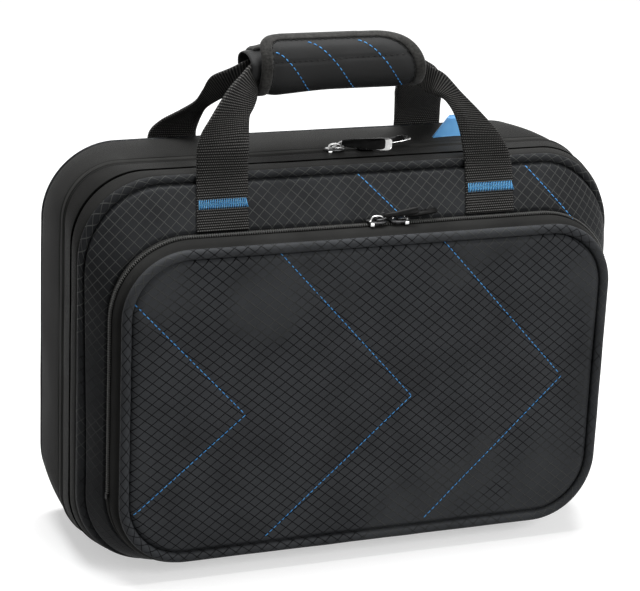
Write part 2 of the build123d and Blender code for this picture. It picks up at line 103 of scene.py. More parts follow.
# ---- outlines ----
# An outline is (width, bottom, top, corner radius, shift along X). A place on it is q: 0 at the
# bottom centre, whole numbers at the ends of sides and corners, 9 at the bottom centre again.
def body(y):
    """Outline of the body at station y."""
    if y >= ZIP_Y:
        radius = ZIP_RADIUS + (BACK_RADIUS - ZIP_RADIUS) * (y - ZIP_Y) / (BACK_Y - ZIP_Y)
    else:
        radius = ZIP_RADIUS + (FRONT_RADIUS - ZIP_RADIUS) * (ZIP_Y - y) / (ZIP_Y - FRONT_Y)
    return np.array([WIDTH, 0.0, HEIGHT, radius, 0.0])


POCKET_SHIFT = (TAPE_HIGH[0] + TAPE_LOW[0]) / 2
POCKET_AT_ZIP = np.array([TAPE_HIGH[0] - TAPE_LOW[0], BASE_LOW[2], TAPE_HIGH[2], 47.0,
                          POCKET_SHIFT])
# Width, bottom and corner radius of the pocket's face, and how far its top lies below the case's.
POCKET_AT_FACE = np.array([314.5, 11.5, HEIGHT - 35.5, 41.0, POCKET_SHIFT])


def pocket(y):
    """Outline of the pocket at station y."""
    share = max(0.0, (POCKET_ZIP_Y - y) / (POCKET_ZIP_Y - POCKET_Y))
    return POCKET_AT_ZIP + (POCKET_AT_FACE - POCKET_AT_ZIP) * share


UNDERSIDE = 0.15      # lowest level of the cloth, so that the two halves lie apart when opened flat


def ring(outline, y, out, q):
    """Points and outward directions on an outline moved out by `out`, at places q."""
    width, bottom, top, radius, shift = outline
    out = np.broadcast_to(np.asarray(out, float), q.shape)
    half, low, high = width / 2 + out, bottom - out, top + out
    r = np.maximum(radius + out, 0.2)
    q = np.mod(q, 9.0)
    seg, f = np.floor(q).astype(int), q - np.floor(q)
    flat, rise = half - r, high - low - 2 * r
    sides = [seg == k for k in (0, 2, 4, 6, 8)]
    x = np.select(sides, [f * flat, half, flat * (1 - 2 * f), -half, (f - 1) * flat])
    z = np.select(sides, [low, low + r + f * rise, high, high - r - f * rise, low])
    nx = np.select(sides, [0.0, 1.0, 0.0, -1.0, 0.0])
    nz = np.select(sides, [-1.0, 0.0, 1.0, 0.0, -1.0])
    for corner, sx, sz, start in ((1, 1, -1, -90), (3, 1, 1, 0), (5, -1, 1, 90), (7, -1, -1, 180)):
        m = seg == corner
        a = np.radians(start + 90 * f[m])
        x[m] = sx * flat[m] + r[m] * np.cos(a)
        z[m] = np.where(sz > 0, high[m] - r[m], low[m] + r[m]) + r[m] * np.sin(a)
        nx[m], nz[m] = np.cos(a), np.sin(a)
    points = np.stack([x + shift, np.full_like(x, y), z], -1)
    return points, np.stack([nx, np.zeros_like(nx), nz], -1)


COUNTS = (46, 24, 52, 24, 92, 24, 52, 24, 46)    # samples on each stretch of an outline


def places(q0=0.0, q1=9.0):
    """Places from q0 to q1. A full loop leaves out its last place."""
    base = np.concatenate([np.arange(n) / n + i for i, n in enumerate(COUNTS)])
    every = np.concatenate([base - 9, base, base + 9])
    inner = every[(every > q0 + 1e-6) & (every < q1 - 1e-6)]
    full = abs(q1 - q0 - 9.0) < 1e-9
    return np.concatenate([[q0], inner] if full else [[q0], inner, [q1]])


def smooth(points, per_span=5, closed=False):
    """Catmull-Rom curve through rows of numbers."""
    p = np.asarray(points, float)
    ends = [p[-1:], p, p[:2]] if closed else [[2 * p[0] - p[1]], p, [2 * p[-1] - p[-2]]]
    ext = np.concatenate(ends)
    out = []
    for i in range(len(ext) - 3):
        a, b, c, d = ext[i:i + 4]
        for k in range(per_span):
            t = k / per_span
            out.append(0.5 * (2 * b + (c - a) * t + (2 * a - 5 * b + 4 * c - d) * t * t
                              + (3 * b - a - 3 * c + d) * t ** 3))
    if not closed:
        out.append(p[-1])
    return np.array(out)


def loop(points, per_span=3):
    """Smooth closed outline of a strip's cut face."""
    return smooth(points, per_span, closed=True)


def ease(t):
    t = np.clip(t, 0, 1)
    return t * t * (3 - 2 * t)


def rumple(points, size, seed=0.0):
    """Smooth noise from -1 to 1 at points, with folds about `size` across."""
    flat = points.reshape(-1, 3) / size
    values = [noise.noise(Vector((x + seed, y - seed, z + 2 * seed))) for x, y, z in flat]
    return np.array(values).reshape(points.shape[:-1])


def lengths(path):
    """Distance along a path to each of its points."""
    return np.concatenate([[0], np.cumsum(np.linalg.norm(np.diff(path, axis=0), axis=1))])


def sample(at, s, values):
    """Values at the distances `at`, from their rows at the distances s."""
    return np.stack([np.interp(at, s, column) for column in values.T], -1)


def unit(vectors):
    """Rows of vectors with their length made one."""
    return vectors / np.linalg.norm(vectors, axis=-1, keepdims=True)


def upright(xz, y=0.0):
    """Points over a grid of (x, z), at depth y."""
    return np.stack([xz[..., 0], y + 0 * xz[..., 0], xz[..., 1]], -1)


# ---- meshes ----
def place_in_scene(name, data):
    """New object made of some data."""
    obj = bpy.data.objects.new(name, data)
    bpy.context.scene.collection.objects.link(obj)
    return obj


def make(name, points, faces, material, corners=None):
    """Mesh object from points in mm. corners are the weave coordinates of each face corner."""
    mesh = bpy.data.meshes.new(name)
    mesh.from_pydata((np.asarray(points, float) * MM).tolist(), [], faces)
    if corners is not None:
        layer = mesh.uv_layers.new(name="weave")
        layer.uv.foreach_set("vector", np.asarray(corners, np.float32).ravel())
    mesh.shade_smooth()
    mesh.materials.append(material)
    return place_in_scene(name, mesh)


def discard(obj):
    """Removes a mesh object with its mesh."""
    mesh = obj.data
    bpy.data.objects.remove(obj)
    bpy.data.meshes.remove(mesh)


def solid(name, points, faces, material, corners=None):
    """Closed mesh object with every face turned outwards."""
    obj = make(name, points, faces, material, corners)
    bm = bmesh.new()
    bm.from_mesh(obj.data)
    bmesh.ops.recalc_face_normals(bm, faces=bm.faces)
    bm.to_mesh(obj.data)
    bm.free()
    return obj


def quads(rows, cols, loop_rows=False, loop_cols=False):
    """Faces between the points of a grid."""
    r1, c1 = rows if loop_rows else rows - 1, cols if loop_cols else cols - 1
    i, j = (v.ravel() for v in np.meshgrid(np.arange(r1), np.arange(c1), indexing="ij"))
    ni, nj = (i + 1) % rows, (j + 1) % cols
    return np.stack([i * cols + j, i * cols + nj, ni * cols + nj, ni * cols + j], -1)


def lay_out(grid, loop_cols):
    """Weave coordinates of a grid: distance along its columns and down its rows."""
    rows = np.concatenate([grid, grid[:1]])
    cols = np.concatenate([grid, grid[:, :1]], 1) if loop_cols else grid
    across = np.linalg.norm(np.diff(cols, axis=1), axis=-1).max(0)
    down = np.linalg.norm(np.diff(rows, axis=0), axis=-1).mean(1)
    u = np.concatenate([[0], np.cumsum(across)])
    v = np.concatenate([[0], np.cumsum(down)])
    return np.stack(np.meshgrid(u, v), -1)


def sheet(name, grid, material, loop_cols=False, weave=None):
    """Solid through a (rows, columns, 3) grid of points. Its rows close round; its columns
    close round too, or else its ends are capped."""
    rows, cols = grid.shape[:2]
    weave = lay_out(grid, loop_cols) if weave is None else weave
    faces = quads(rows, cols, True, loop_cols)
    i, j = np.divmod(faces[:, 0], cols)
    uv = np.stack([weave[i, j], weave[i, j + 1], weave[i + 1, j + 1], weave[i + 1, j]], 1)
    faces, uv = faces.tolist(), uv.reshape(-1, 2)
    if not loop_cols:
        first = [k * cols for k in range(rows)]
        faces += [first, [k + cols - 1 for k in first][::-1]]
        uv = np.concatenate([uv, np.zeros((2 * rows, 2))])
    return solid(name, grid.reshape(-1, 3), faces, material, uv)


def pad(name, front, back, weave, material):
    """Closed pad between a front and a back skin, which are grids of points."""
    rows, cols = front.shape[:2]
    n = rows * cols
    order = np.arange(n).reshape(rows, cols)
    rim = np.concatenate([order[0], order[1:, -1], order[-1, -2::-1], order[-2:0:-1, 0]])
    after = np.roll(rim, -1)
    skin, side = quads(rows, cols), np.stack([after, rim, rim + n, after + n], -1)
    faces = np.concatenate([skin, skin[:, ::-1] + n, side])
    weave = weave.reshape(-1, 2)
    uv = np.concatenate([weave, weave])[faces].reshape(-1, 2)
    return solid(name, np.concatenate([front, back]).reshape(-1, 3), faces.tolist(), material, uv)


def bars(name, rings, material):
    """Many short closed bars in one mesh, from rings that are shaped (rings, points round a
    ring, bars, 3)."""
    rings = np.array(rings).transpose(2, 0, 1, 3)
    count, stack, sides = rings.shape[:3]
    one = quads(stack, sides, loop_cols=True).tolist()
    one += [list(range(sides))[::-1], [(stack - 1) * sides + i for i in range(sides)]]
    faces = [[base * stack * sides + i for i in face] for base in range(count) for face in one]
    return solid(name, rings.reshape(-1, 3), faces, material)


def band(name, section, q, material, closed=True, outline=body, amount=0.0, size=45.0, seed=0.0):
    """Closed band round an outline. section lists (y, out) round its cut face."""
    grid = np.array([ring(outline(y), y, out, q)[0] for y, out in section])
    if amount:
        _, normals = ring(outline(section[0][0]), 0, 0, q)
        grid = grid + normals[None] * (amount * rumple(grid, size, seed))[..., None]
    grid[..., 2] = np.maximum(grid[..., 2], UNDERSIDE)
    return sheet(name, grid, material, loop_cols=closed)


def strip(name, section, q, material, body_name, slot, *nodes, **options):
    """Band of cloth that rides on a body. Sections are drawn in mm from the seams."""
    return dress(band(name, section, q, material, **options), body_name, slot, *nodes)


def tube(name, path, radius, material, sides=10, closed=False, across=None, squash=1.0):
    """Round or oval tube along a path of points. across fixes the direction of the wide side."""
    path = np.asarray(path, float)
    n = len(path)
    tangent = unit(np.roll(path, -1, 0) - np.roll(path, 1, 0) if closed
                   else np.gradient(path, axis=0))
    if across is None:
        across = np.zeros_like(path)
        up = np.array([0.0, 0.0, 1.0]) if abs(tangent[0][2]) < 0.9 else np.array([0.0, 1.0, 0.0])
        for k in range(n):
            up = unit(up - tangent[k] * (up @ tangent[k]))
            across[k] = up
    side = unit(np.cross(tangent, across))
    angle = np.arange(sides) * 2 * math.pi / sides
    radius = np.broadcast_to(np.asarray(radius, float), (n,))
    grid = (path[None] + np.cos(angle)[:, None, None] * radius[None, :, None] * across[None]
            + np.sin(angle)[:, None, None] * radius[None, :, None] * squash * side[None])
    return sheet(name, grid, material, loop_cols=closed)


def join(name, objects):
    """One object from several, without operators."""
    bm = bmesh.new()
    materials = list(dict.fromkeys(m for obj in objects for m in obj.data.materials))
    for obj in objects:
        first = len(bm.faces)
        bm.from_mesh(obj.data)
        bm.faces.ensure_lookup_table()
        index = materials.index(obj.data.materials[0])
        for face in bm.faces[first:]:
            face.material_index = index
    mesh = bpy.data.meshes.new(name)
    bm.to_mesh(mesh)
    bm.free()
    for m in materials:
        mesh.materials.append(m)
    for obj in objects:
        discard(obj)
    return place_in_scene(name, mesh)


def dress(obj, body_name, slot, *nodes):
    """Rides on a body and stands for CAD nodes. slot is not used."""
    if nodes:
        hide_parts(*nodes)
    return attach(obj, body_name)


def bend(obj, a, b, start, end, slot, *nodes):
    """Hides its CAD nodes and bakes the mesh's placing into its points. a, b, start and end (in mm)
    and slot are not used.
    """
    if nodes:
        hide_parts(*nodes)
    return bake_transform(obj)


# ---- materials ----
class Nodes:
    """Short names for building the nodes of a material or a world."""

    def __init__(self, name, owner=None, shader="Principled BSDF"):
        self.owner = owner or bpy.data.materials.new(name)
        self.owner.use_nodes = True
        self.tree = self.owner.node_tree
        self.shader = self.tree.nodes[shader]

    def add(self, kind, **settings):
        node = self.tree.nodes.new("ShaderNode" + kind)
        for key, value in settings.items():
            setattr(node, key, value)
        return node

    def put(self, socket, value):
        if isinstance(value, bpy.types.NodeSocket):
            self.tree.links.new(value, socket)
        else:
            socket.default_value = value

    def filled(self, kind, values, **settings):
        """First output of a new node whose first inputs hold some values."""
        node = self.add(kind, **settings)
        for socket, value in zip(node.inputs, values):
            self.put(socket, value)
        return node.outputs[0]

    def math(self, operation, a, b=0.0):
        return self.filled("Math", (a, b), operation=operation)

    def sum(self, first, *others):
        for other in others:
            first = self.math("ADD", first, other)
        return first

    def times(self, a, b):
        return self.math("MULTIPLY", a, b)

    def less(self, a, b):
        return self.math("SUBTRACT", a, b)

    def wave(self, value, rate):
        """Sine of a value at so many radians to each of its units."""
        return self.math("SINE", self.times(value, rate))

    def range(self, value, a, b, c, d):
        """c to d for a value from a to b, and no more than these outside."""
        return self.filled("MapRange", (value, a, b, c, d))

    def split(self, vector):
        node = self.add("SeparateXYZ")
        self.put(node.inputs[0], vector)
        return node.outputs[0], node.outputs[1], node.outputs[2]

    def weave(self):
        """The weave coordinates, in mm."""
        return self.split(self.add("UVMap", uv_map="weave").outputs[0])

    def place(self):
        """Object coordinates, in metres."""
        return self.add("TexCoord").outputs["Object"]

    def noise(self, scale, detail):
        node = self.add("TexNoise")
        for key, value in (("Vector", self.place()), ("Scale", scale), ("Detail", detail),
                           ("Roughness", 0.5)):
            self.put(node.inputs[key], value)
        return node.outputs["Fac"]

    def ramp(self, value, *stops):
        """Colour at a value. Each stop is (position, red, green, blue)."""
        node = self.add("ValToRGB")
        self.put(node.inputs[0], value)
        elements = node.color_ramp.elements
        while len(elements) < len(stops):
            elements.new(0.5)
        for element, (position, *colour) in zip(elements, stops):
            element.position = position
            element.color = (*colour, 1)
        return node.outputs[0]

    def mix(self, share, a, b):
        node = self.add("Mix", data_type="RGBA")
        for index, value in ((0, share), (6, a), (7, b)):
            self.put(node.inputs[index], value)
        return node.outputs[2]

    def bump(self, height, distance, strength):
        node = self.add("Bump")
        for key, value in (("Strength", strength), ("Distance", distance), ("Height", height)):
            self.put(node.inputs[key], value)
        self.put(self.shader.inputs["Normal"], node.outputs[0])

    def finish(self, colour, roughness, sheen=0.0, metallic=0.0, specular=0.5):
        for key, value in (("Base Color", colour), ("Roughness", roughness),
                           ("Sheen Weight", sheen), ("Sheen Roughness", 0.5),
                           ("Metallic", metallic), ("Coat Weight", 0.0),
                           ("Specular IOR Level", specular)):
            self.put(self.shader.inputs[key], value)
        return self.owner


RIPSTOP_WIDE = 8.3       # one diamond of the ripstop, across and up
RIPSTOP_TALL = 6.6
RIB_PITCH = 1.55         # ribs of the webbing
MIDDLE = (0.3, 0.7)      # between these a noise has most of its values


def ripstop_material():
    """Coated cloth with a diamond grid of thicker threads over a fine plain weave. The threads are
    painted dark in random patches and light elsewhere, a painted highlight that is strongest on the
    shoulder."""
    n = Nodes("ripstop")
    u, v, _ = n.weave()
    across, up = n.math("DIVIDE", u, RIPSTOP_WIDE), n.math("DIVIDE", v, RIPSTOP_TALL)
    threads = []
    for run in (n.sum(across, up), n.less(across, up)):
        middle = n.math("ABSOLUTE", n.less(n.math("FRACT", n.sum(run, 500.5)), 0.5))
        threads.append(n.range(middle, 0.03, 0.062, 1.0, 0.0))
    line = n.math("MAXIMUM", *threads)
    fine = n.times(n.wave(n.sum(u, v), 9.0), n.wave(n.less(u, v), 9.0))
    wear = n.noise(30.0, 4.0)
    n.bump(n.sum(n.times(line, 0.7), n.times(fine, 0.06), n.times(wear, 0.5)), 0.00035, 1.0)
    # Painted light and shade: the cloth is painted paler on the pocket's face, where more light
    # falls, and darker towards both sides.
    x, y, z = n.split(n.place())
    painted_light_and_shade = n.sum(n.range(y, -0.058, -0.048, 0.42, -0.14), n.range(x, -0.165, -0.140, -0.14, 0.0),
                n.range(x, 0.120, 0.165, 0.0, -0.16))
    cloth = n.ramp(n.sum(wear, painted_light_and_shade), (0.0, 0.0090, 0.0094, 0.0102), (0.3, 0.0160, 0.0168, 0.0181),
                   (0.7, 0.0310, 0.0325, 0.0350), (1.0, 0.0430, 0.0452, 0.0486))
    # Painted highlight: the threads are painted lightest on the shoulder and high up and darkest at
    # the left side, over random patches.
    painted_thread_shine = n.sum(n.noise(11.0, 3.0), n.range(y, -0.058, -0.050, 0.0, 0.10),
                  n.range(z, 0.10, 0.24, -0.05, 0.05), n.range(x, -0.165, -0.140, -0.06, 0.0))
    thread = n.ramp(painted_thread_shine, (0.50, 0.0026, 0.0026, 0.0030), (0.60, 0.056, 0.058, 0.056))
    rough = n.less(n.range(wear, *MIDDLE, 0.42, 0.52), n.times(line, 0.1))
    return n.finish(n.mix(line, cloth, thread), rough, specular=0.05)


def twill_material():
    """Smooth wall cloth with a fine diagonal twill, painted paler towards the back at the top: a
    painted highlight.
    """
    n = Nodes("twill")
    u, v, _ = n.weave()
    rib = n.wave(n.sum(u, n.times(v, 1.4)), 5.2)
    cross = n.wave(n.less(u, v), 11.0)
    wear = n.noise(28.0, 5.0)
    n.bump(n.sum(n.times(rib, 0.5), n.times(cross, 0.2), n.times(wear, 0.9)), 0.00016, 0.8)
    _, y, z = n.split(n.place())
    # Painted highlight: the cloth is paler towards the back edge, high up on the case.
    rear = n.times(n.range(y, 0.030, 0.060, 0.0, 0.55), n.range(z, 0.2, 0.29, 0.0, 1.0))
    cloth = n.ramp(n.sum(wear, rear), (0.3, 0.0175, 0.0175, 0.0170), (0.72, 0.029, 0.029, 0.0282),
                   (1.0, 0.052, 0.052, 0.0505))
    return n.finish(cloth, n.range(wear, *MIDDLE, 0.42, 0.54), specular=0.010)


def webbing_material():
    """Polypropylene webbing: glossy yarns on the ribs, with a painted highlight on the yarns and
    painted shade between the ribs.
    """
    n = Nodes("webbing")
    u, v, _ = n.weave()
    ridge = n.math("ABSOLUTE", n.wave(v, math.pi / RIB_PITCH))
    row = n.math("FLOOR", n.math("DIVIDE", v, RIB_PITCH))
    shift = n.times(n.math("FRACT", n.times(row, 0.5)), 2 * math.pi)
    yarn = n.math("SINE", n.sum(n.times(u, 4.6), shift))
    wear = n.noise(60.0, 4.0)
    # Painted highlight on the ribs' yarns and painted shade between the ribs; the same pattern also
    # makes the ribs glossier.
    painted_rib_highlight = n.times(n.math("POWER", ridge, 3.0), n.range(yarn, -1.0, 1.0, 0.35, 1.0))
    n.bump(n.sum(n.times(yarn, 0.5), ridge), 0.00045, 1.0)
    cloth = n.ramp(n.sum(n.times(painted_rib_highlight, 0.8), n.times(wear, 0.2)), (0.16, 0.0040, 0.0040, 0.0038),
                   (0.5, 0.030, 0.0292, 0.0275), (0.82, 0.125, 0.122, 0.115))
    return n.finish(cloth, n.range(painted_rib_highlight, 0, 1, 0.62, 0.38), specular=0.14)


def tape_material():
    """Woven zipper tape with ribs across it."""
    n = Nodes("tape")
    u, _, _ = n.weave()
    wear = n.noise(50.0, 3.0)
    n.bump(n.sum(n.wave(u, 7.5), n.times(wear, 0.6)), 0.00012, 0.8)
    cloth = n.ramp(wear, (0.3, 0.019, 0.019, 0.0182), (0.7, 0.031, 0.031, 0.0298))
    return n.finish(cloth, 0.55, specular=0.012)


def binding_material():
    """Brushed tape bound over the grip's edges."""
    n = Nodes("binding")
    fibre, wear = n.noise(700.0, 3.0), n.noise(110.0, 4.0)
    n.bump(n.sum(n.times(fibre, 0.6), wear), 0.0005, 0.9)
    cloth = n.ramp(n.sum(n.times(fibre, 0.6), n.times(wear, 0.4)),
                   (0.35, 0.013, 0.0128, 0.012), (0.65, 0.045, 0.044, 0.0415))
    return n.finish(cloth, 0.75, sheen=0.15, specular=0.08)


def neoprene_material():
    """Padded grip cover: very fine knit over foam."""
    n = Nodes("neoprene")
    u, v, _ = n.weave()
    knit = n.times(n.wave(u, 8.4), n.wave(v, 8.4))
    wear = n.noise(40.0, 4.0)
    n.bump(n.sum(n.times(knit, 0.35), wear), 0.00018, 0.7)
    cloth = n.ramp(wear, (0.3, 0.014, 0.0143, 0.0144), (0.7, 0.0215, 0.0218, 0.0220))
    return n.finish(cloth, n.range(wear, *MIDDLE, 0.42, 0.52), specular=0.12)


def plush_material():
    """Short pile cloth of the interior."""
    n = Nodes("plush")
    pile, shade = n.noise(900.0, 2.0), n.noise(45.0, 4.0)
    n.bump(n.sum(n.times(pile, 0.8), shade), 0.0006, 0.8)
    cloth = n.ramp(n.sum(n.times(pile, 0.5), n.times(shade, 0.5)),
                   (0.35, 0.012, 0.014, 0.026), (0.65, 0.028, 0.033, 0.060))
    return n.finish(cloth, 0.9, sheen=0.8, specular=0.2)


def ribbon_material():
    """Satin ribbon of the side tag."""
    n = Nodes("tag")
    u, _, _ = n.weave()
    wear = n.noise(90.0, 3.0)
    n.bump(n.sum(n.times(n.wave(u, 12.0), 0.4), wear), 0.0001, 0.7)
    cloth = n.ramp(wear, (0.3, 0.10, 0.38, 0.80), (0.7, 0.17, 0.50, 0.90))
    return n.finish(cloth, 0.38, sheen=0.3)


def marked(name, scale, detail, depth, strength, dark, light, roughness, **looks):
    """Material with one noise in its height and its colour, and in its roughness too where
    that is a pair. dark and light are stops of its colour."""
    n = Nodes(name)
    marks = n.noise(scale, detail)
    n.bump(marks, depth, strength)
    if isinstance(roughness, tuple):
        roughness = n.range(marks, *MIDDLE, *roughness)
    return n.finish(n.ramp(marks, dark, light), roughness, **looks)


def thread_material(name, dark, light):
    """Twisted sewing thread."""
    return marked(name, 1400.0, 2.0, 0.0002, 0.8, (0.35, *dark), (0.65, *light), 0.42, specular=0.2)


def metal_material(name, dark, light, roughness):
    """Plated zinc with fine handling marks."""
    return marked(name, 240.0, 5.0, 0.00005, 0.5, (0.3, *dark), (0.7, *light),
                  (roughness, roughness + 0.12), metallic=1.0)


RIPSTOP = ripstop_material()
TWILL = twill_material()
WEBBING = webbing_material()
TAPE = tape_material()
NEOPRENE = neoprene_material()
PLUSH = plush_material()
BINDING_CLOTH = binding_material()
RIBBON = ribbon_material()
BLUE = thread_material("blue_thread", (0.03, 0.18, 0.50), (0.11, 0.42, 0.84))
# The bar tacks' thread is the blue thread painted lighter, to make up for the shade between the
# tack's close turns: painted light.
TACK_BLUE_PAINTED_LIGHTER = thread_material("tack_thread", (0.06, 0.34, 0.82), (0.24, 0.66, 1.0))
BLACK_THREAD = thread_material("black_thread", (0.0025, 0.0025, 0.0025), (0.006, 0.006, 0.006))
GUNMETAL = metal_material("gunmetal", (0.03, 0.03, 0.031), (0.07, 0.07, 0.071), 0.25)
NICKEL = metal_material("nickel", (0.50, 0.50, 0.50), (0.66, 0.66, 0.65), 0.2)
# Stiff moulded board behind the panels, a near-black matte cord that is painted shade in a seam's
# groove and in the main zipper's middle, nylon coil of a zipper, and glossy black lacquer of the
# pull tabs.
BOARD = marked("board", 500.0, 3.0, 0.0002, 0.6, (0.3, 0.035, 0.035, 0.036),
               (0.7, 0.055, 0.055, 0.056), 0.7)
PAINTED_SHADE_CORD = marked("seam", 260.0, 3.0, 0.0002, 0.8, (0.3, 0.0012, 0.0012, 0.0012),
                   (0.7, 0.0032, 0.0032, 0.0031), 0.9, specular=0.004)
COIL = marked("coil", 300.0, 2.0, 0.00008, 0.5, (0.3, 0.030, 0.030, 0.028),
              (0.7, 0.055, 0.055, 0.052), 0.34, specular=0.3)
LACQUER = marked("lacquer", 260.0, 5.0, 0.00004, 0.5, (0.35, 0.0035, 0.0035, 0.0035),
                 (0.7, 0.010, 0.010, 0.010), (0.26, 0.40), specular=0.05)


# ---- back half: walls, rim and back ----
def back_wall():
    a, b = TAPE_EDGE_Y, PANEL_BACK_Y
    section = loop([(a + 0.2, -1.3), (a + 0.1, -0.4), (a + 1.2, 0.1), (a + 8, 0.7), (a + 21, 1.2),
                    (b - 8, 0.9), (b - 2, 0.2), (b - 0.5, -1.0), (b - 3, -1.5), (a + 21, -1.3),
                    (a + 3, -1.5)])
    strip("back_wall_cloth", section, places(), TWILL, "back_half", "twill", "back_wall",
          amount=0.45)


ROLL = 3.1       # half width of the rolled edge of cloth round a panel


def roll(name, centres, directions, radius, squash):
    """Cloth roll with a slightly uneven girth. directions point along its wide side."""
    uneven = 1 + 0.05 * rumple(centres, 22.0, 3.0)
    obj = tube(name, centres, radius * uneven, RIPSTOP, sides=14, closed=True,
               across=directions, squash=squash)
    for vertex in obj.data.vertices:
        vertex.co.z = max(vertex.co.z, UNDERSIDE * MM)
    return obj


def back_rim():
    centres, normals = ring(body(BACK_Y), BACK_Y - 0.6, -ROLL + 0.3, places())
    obj = roll("back_rim_roll", centres, normals, ROLL, 0.85)
    dress(obj, "back_half", "piping", "back_piping")


def panel_grid(outline, inset, columns, rows_flat, rows_corner):
    """Rows of (x, z) that fill a rounded rectangle."""
    width, bottom, top, radius, shift = outline
    half, low, high, r = width / 2 - inset, bottom + inset, top - inset, radius - inset
    angle = np.linspace(0, math.pi / 2, rows_corner + 1)
    level = np.linspace(low + r, high - r, rows_flat + 1)[1:-1]
    z = np.concatenate([low + r - r * np.cos(angle), level, high - r + r * np.sin(angle)])
    w = np.concatenate([half - r + r * np.sin(angle), np.full(len(level), half),
                        half - r + r * np.cos(angle)])
    s = np.linspace(-1, 1, columns + 1)
    return np.stack([w[:, None] * s[None] + shift, np.repeat(z[:, None], columns + 1, 1)], -1)


def inside(xz, centre, half, r):
    """How far each (x, z) lies inside a rounded rectangle."""
    p = np.abs(xz - centre) - (half - r)
    outside = np.linalg.norm(np.maximum(p, 0), axis=-1)
    return r - outside - np.minimum(np.maximum(p[..., 0], p[..., 1]), 0)


def edge_distance(xz, outline, inset):
    """How far each (x, z) lies inside an outline that is drawn in by `inset`."""
    width, bottom, top, radius, shift = outline
    half = np.array([width, top - bottom]) / 2 - inset
    return inside(xz, np.array([shift, (top + bottom) / 2]), half, radius - inset)


def padded_panel(name, xz, y, back, material):
    """Closed pad between a skin at depth y over a grid of (x, z) and a flat one at `back`."""
    return pad(name, upright(xz, y), upright(xz, back), xz, material)


def back_cover():
    outline, inset = body(BACK_Y), 5.8
    xz = panel_grid(outline, inset, 96, 50, 16)
    depth = edge_distance(xz, outline, inset)
    y = BACK_Y - 0.8 + 1.6 * ease(depth / 14) + 0.5 * rumple(upright(xz), 60.0, 5.0)
    obj = padded_panel("back_cover", xz, y, y.min() - 0.6, RIPSTOP)
    dress(obj, "back_half", "ripstop", "back_panel")


# ---- main zipper and the strips beside it ----
SPINE_HALF = 131.0       # half length of the uncut strip along the base
SPINE_Q = SPINE_HALF / (WIDTH / 2 - ZIP_RADIUS)
SPINE_BEND = 2.5         # half width of its bend
ZIP_RUN = places(SPINE_Q, 9 - SPINE_Q)


def zip_strips():
    z, a, s = ZIP_Y, TAPE_EDGE_Y, SEAM_Y
    rear = loop([(z + 0.7, -0.9), (z + 0.6, -0.15), (z + 1.2, 0.3), (z + 2.0, 0.1),
                 (z + 2.4, -0.35), (z + 2.8, -0.05), (z + 5.0, 0.05), (a - 0.6, -0.1),
                 (a + 0.1, -0.7), (a - 0.6, -1.25), (z + 4, -1.15), (z + 1.4, -1.2)])
    front = loop([(z - 0.7, -0.9), (z - 0.6, -0.15), (z - 1.2, 0.3), (z - 2.0, 0.1),
                  (z - 2.4, -0.3), (z - 2.8, 0.0), (z - 8.0, 0.35), (s + 6.0, 0.55),
                  (s + 2.0, 0.4), (s + 1.1, 0.0), (s + 0.9, -1.1), (s + 0.9, -2.0),
                  (s + 1.9, -2.1), (z - 8.0, -1.1), (z - 1.4, -1.2)])
    # Painted shade: a near-black strip in the gap between the two tapes.
    gap_shade = [(z - 0.5, -1.1), (z - 0.52, -0.7), (z, -0.5), (z + 0.52, -0.7), (z + 0.5, -1.1)]
    strip("rear_zipper_tape", rear, ZIP_RUN, TAPE, "back_half", "tape", "back_zip_tape",
          closed=False, amount=0.25, size=30.0)
    strip("front_zipper_strip", front, ZIP_RUN, TWILL, "lid", "tape", "front_zip_tape",
          closed=False, amount=0.3, size=30.0)
    strip("rear_tape_selvedge", gap_shade, ZIP_RUN, PAINTED_SHADE_CORD, "back_half", "tape", closed=False)


def spine():
    """One strip of cloth along the base between the halves."""
    a, s, z = TAPE_EDGE_Y, SEAM_Y, ZIP_Y
    section = loop([(a, -0.6), (a - 1.0, 0.0), (z + 3, 0.0), (z, -0.15), (z - 3, 0.0),
                    (s + 1.2, 0.0), (s + 0.2, -0.6), (s + 1.2, -1.2), (z, -1.2),
                    (a - 1.0, -1.2)], 4)
    obj = band("spine_cloth", section, places(-SPINE_Q, SPINE_Q), TWILL, closed=False)
    bend(obj, "back_half", "lid", (0, z + SPINE_BEND, 0), (0, z - SPINE_BEND, 0), "twill",
         "back_spine_leaf", "front_spine_leaf")


COIL_PITCH = 1.45
COIL_REACH, COIL_HIGH = 2.3, 0.95        # one loop across the zipper and off its tape
COIL_FOOT = 2.0          # distance of a loop's foot from the zipper's middle
# Rings of one coil loop: share of its reach, share of its height, and half thickness.
COIL_LOOP = ((0.0, 0.1, 0.28), (0.25, 0.85, 0.40), (0.7, 1.0, 0.40), (1.0, 0.75, 0.40),
             (1.05, 0.35, 0.28))


def circle(centre, wide, tall, sides):
    """Points of a ring round each centre, from its half axes."""
    angle = np.arange(sides) * 2 * math.pi / sides
    return [centre + wide * math.cos(a) + tall * math.sin(a) for a in angle]


def coils(outline, zip_y, q, out_level, hang, names):
    """Both coil rows of a zipper. Each loop is a bent bar from its tape to just past the
    zipper's middle. hang is 1 on the outside of the tapes and -1 on their inside."""
    made = []
    for way, name, offset in ((1, names[0], 0.0), (-1, names[1], COIL_PITCH / 2)):
        path, normals = ring(outline, zip_y + way * COIL_FOOT, out_level, q)
        s = lengths(path)
        at = np.arange(offset, s[-1], COIL_PITCH)
        where = sample(at, s, path)
        tangent = unit(sample(at + 0.05, s, path) - where)
        out = unit(sample(at, s, normals)) * hang
        inward = np.array([0.0, -way, 0.0]) * COIL_REACH
        rings = [circle(where + inward * share + out * (COIL_HIGH * up), tangent * thick,
                        out * (thick * 0.8), 6) for share, up, thick in COIL_LOOP]
        made.append(bars(name, rings, COIL))
    return made


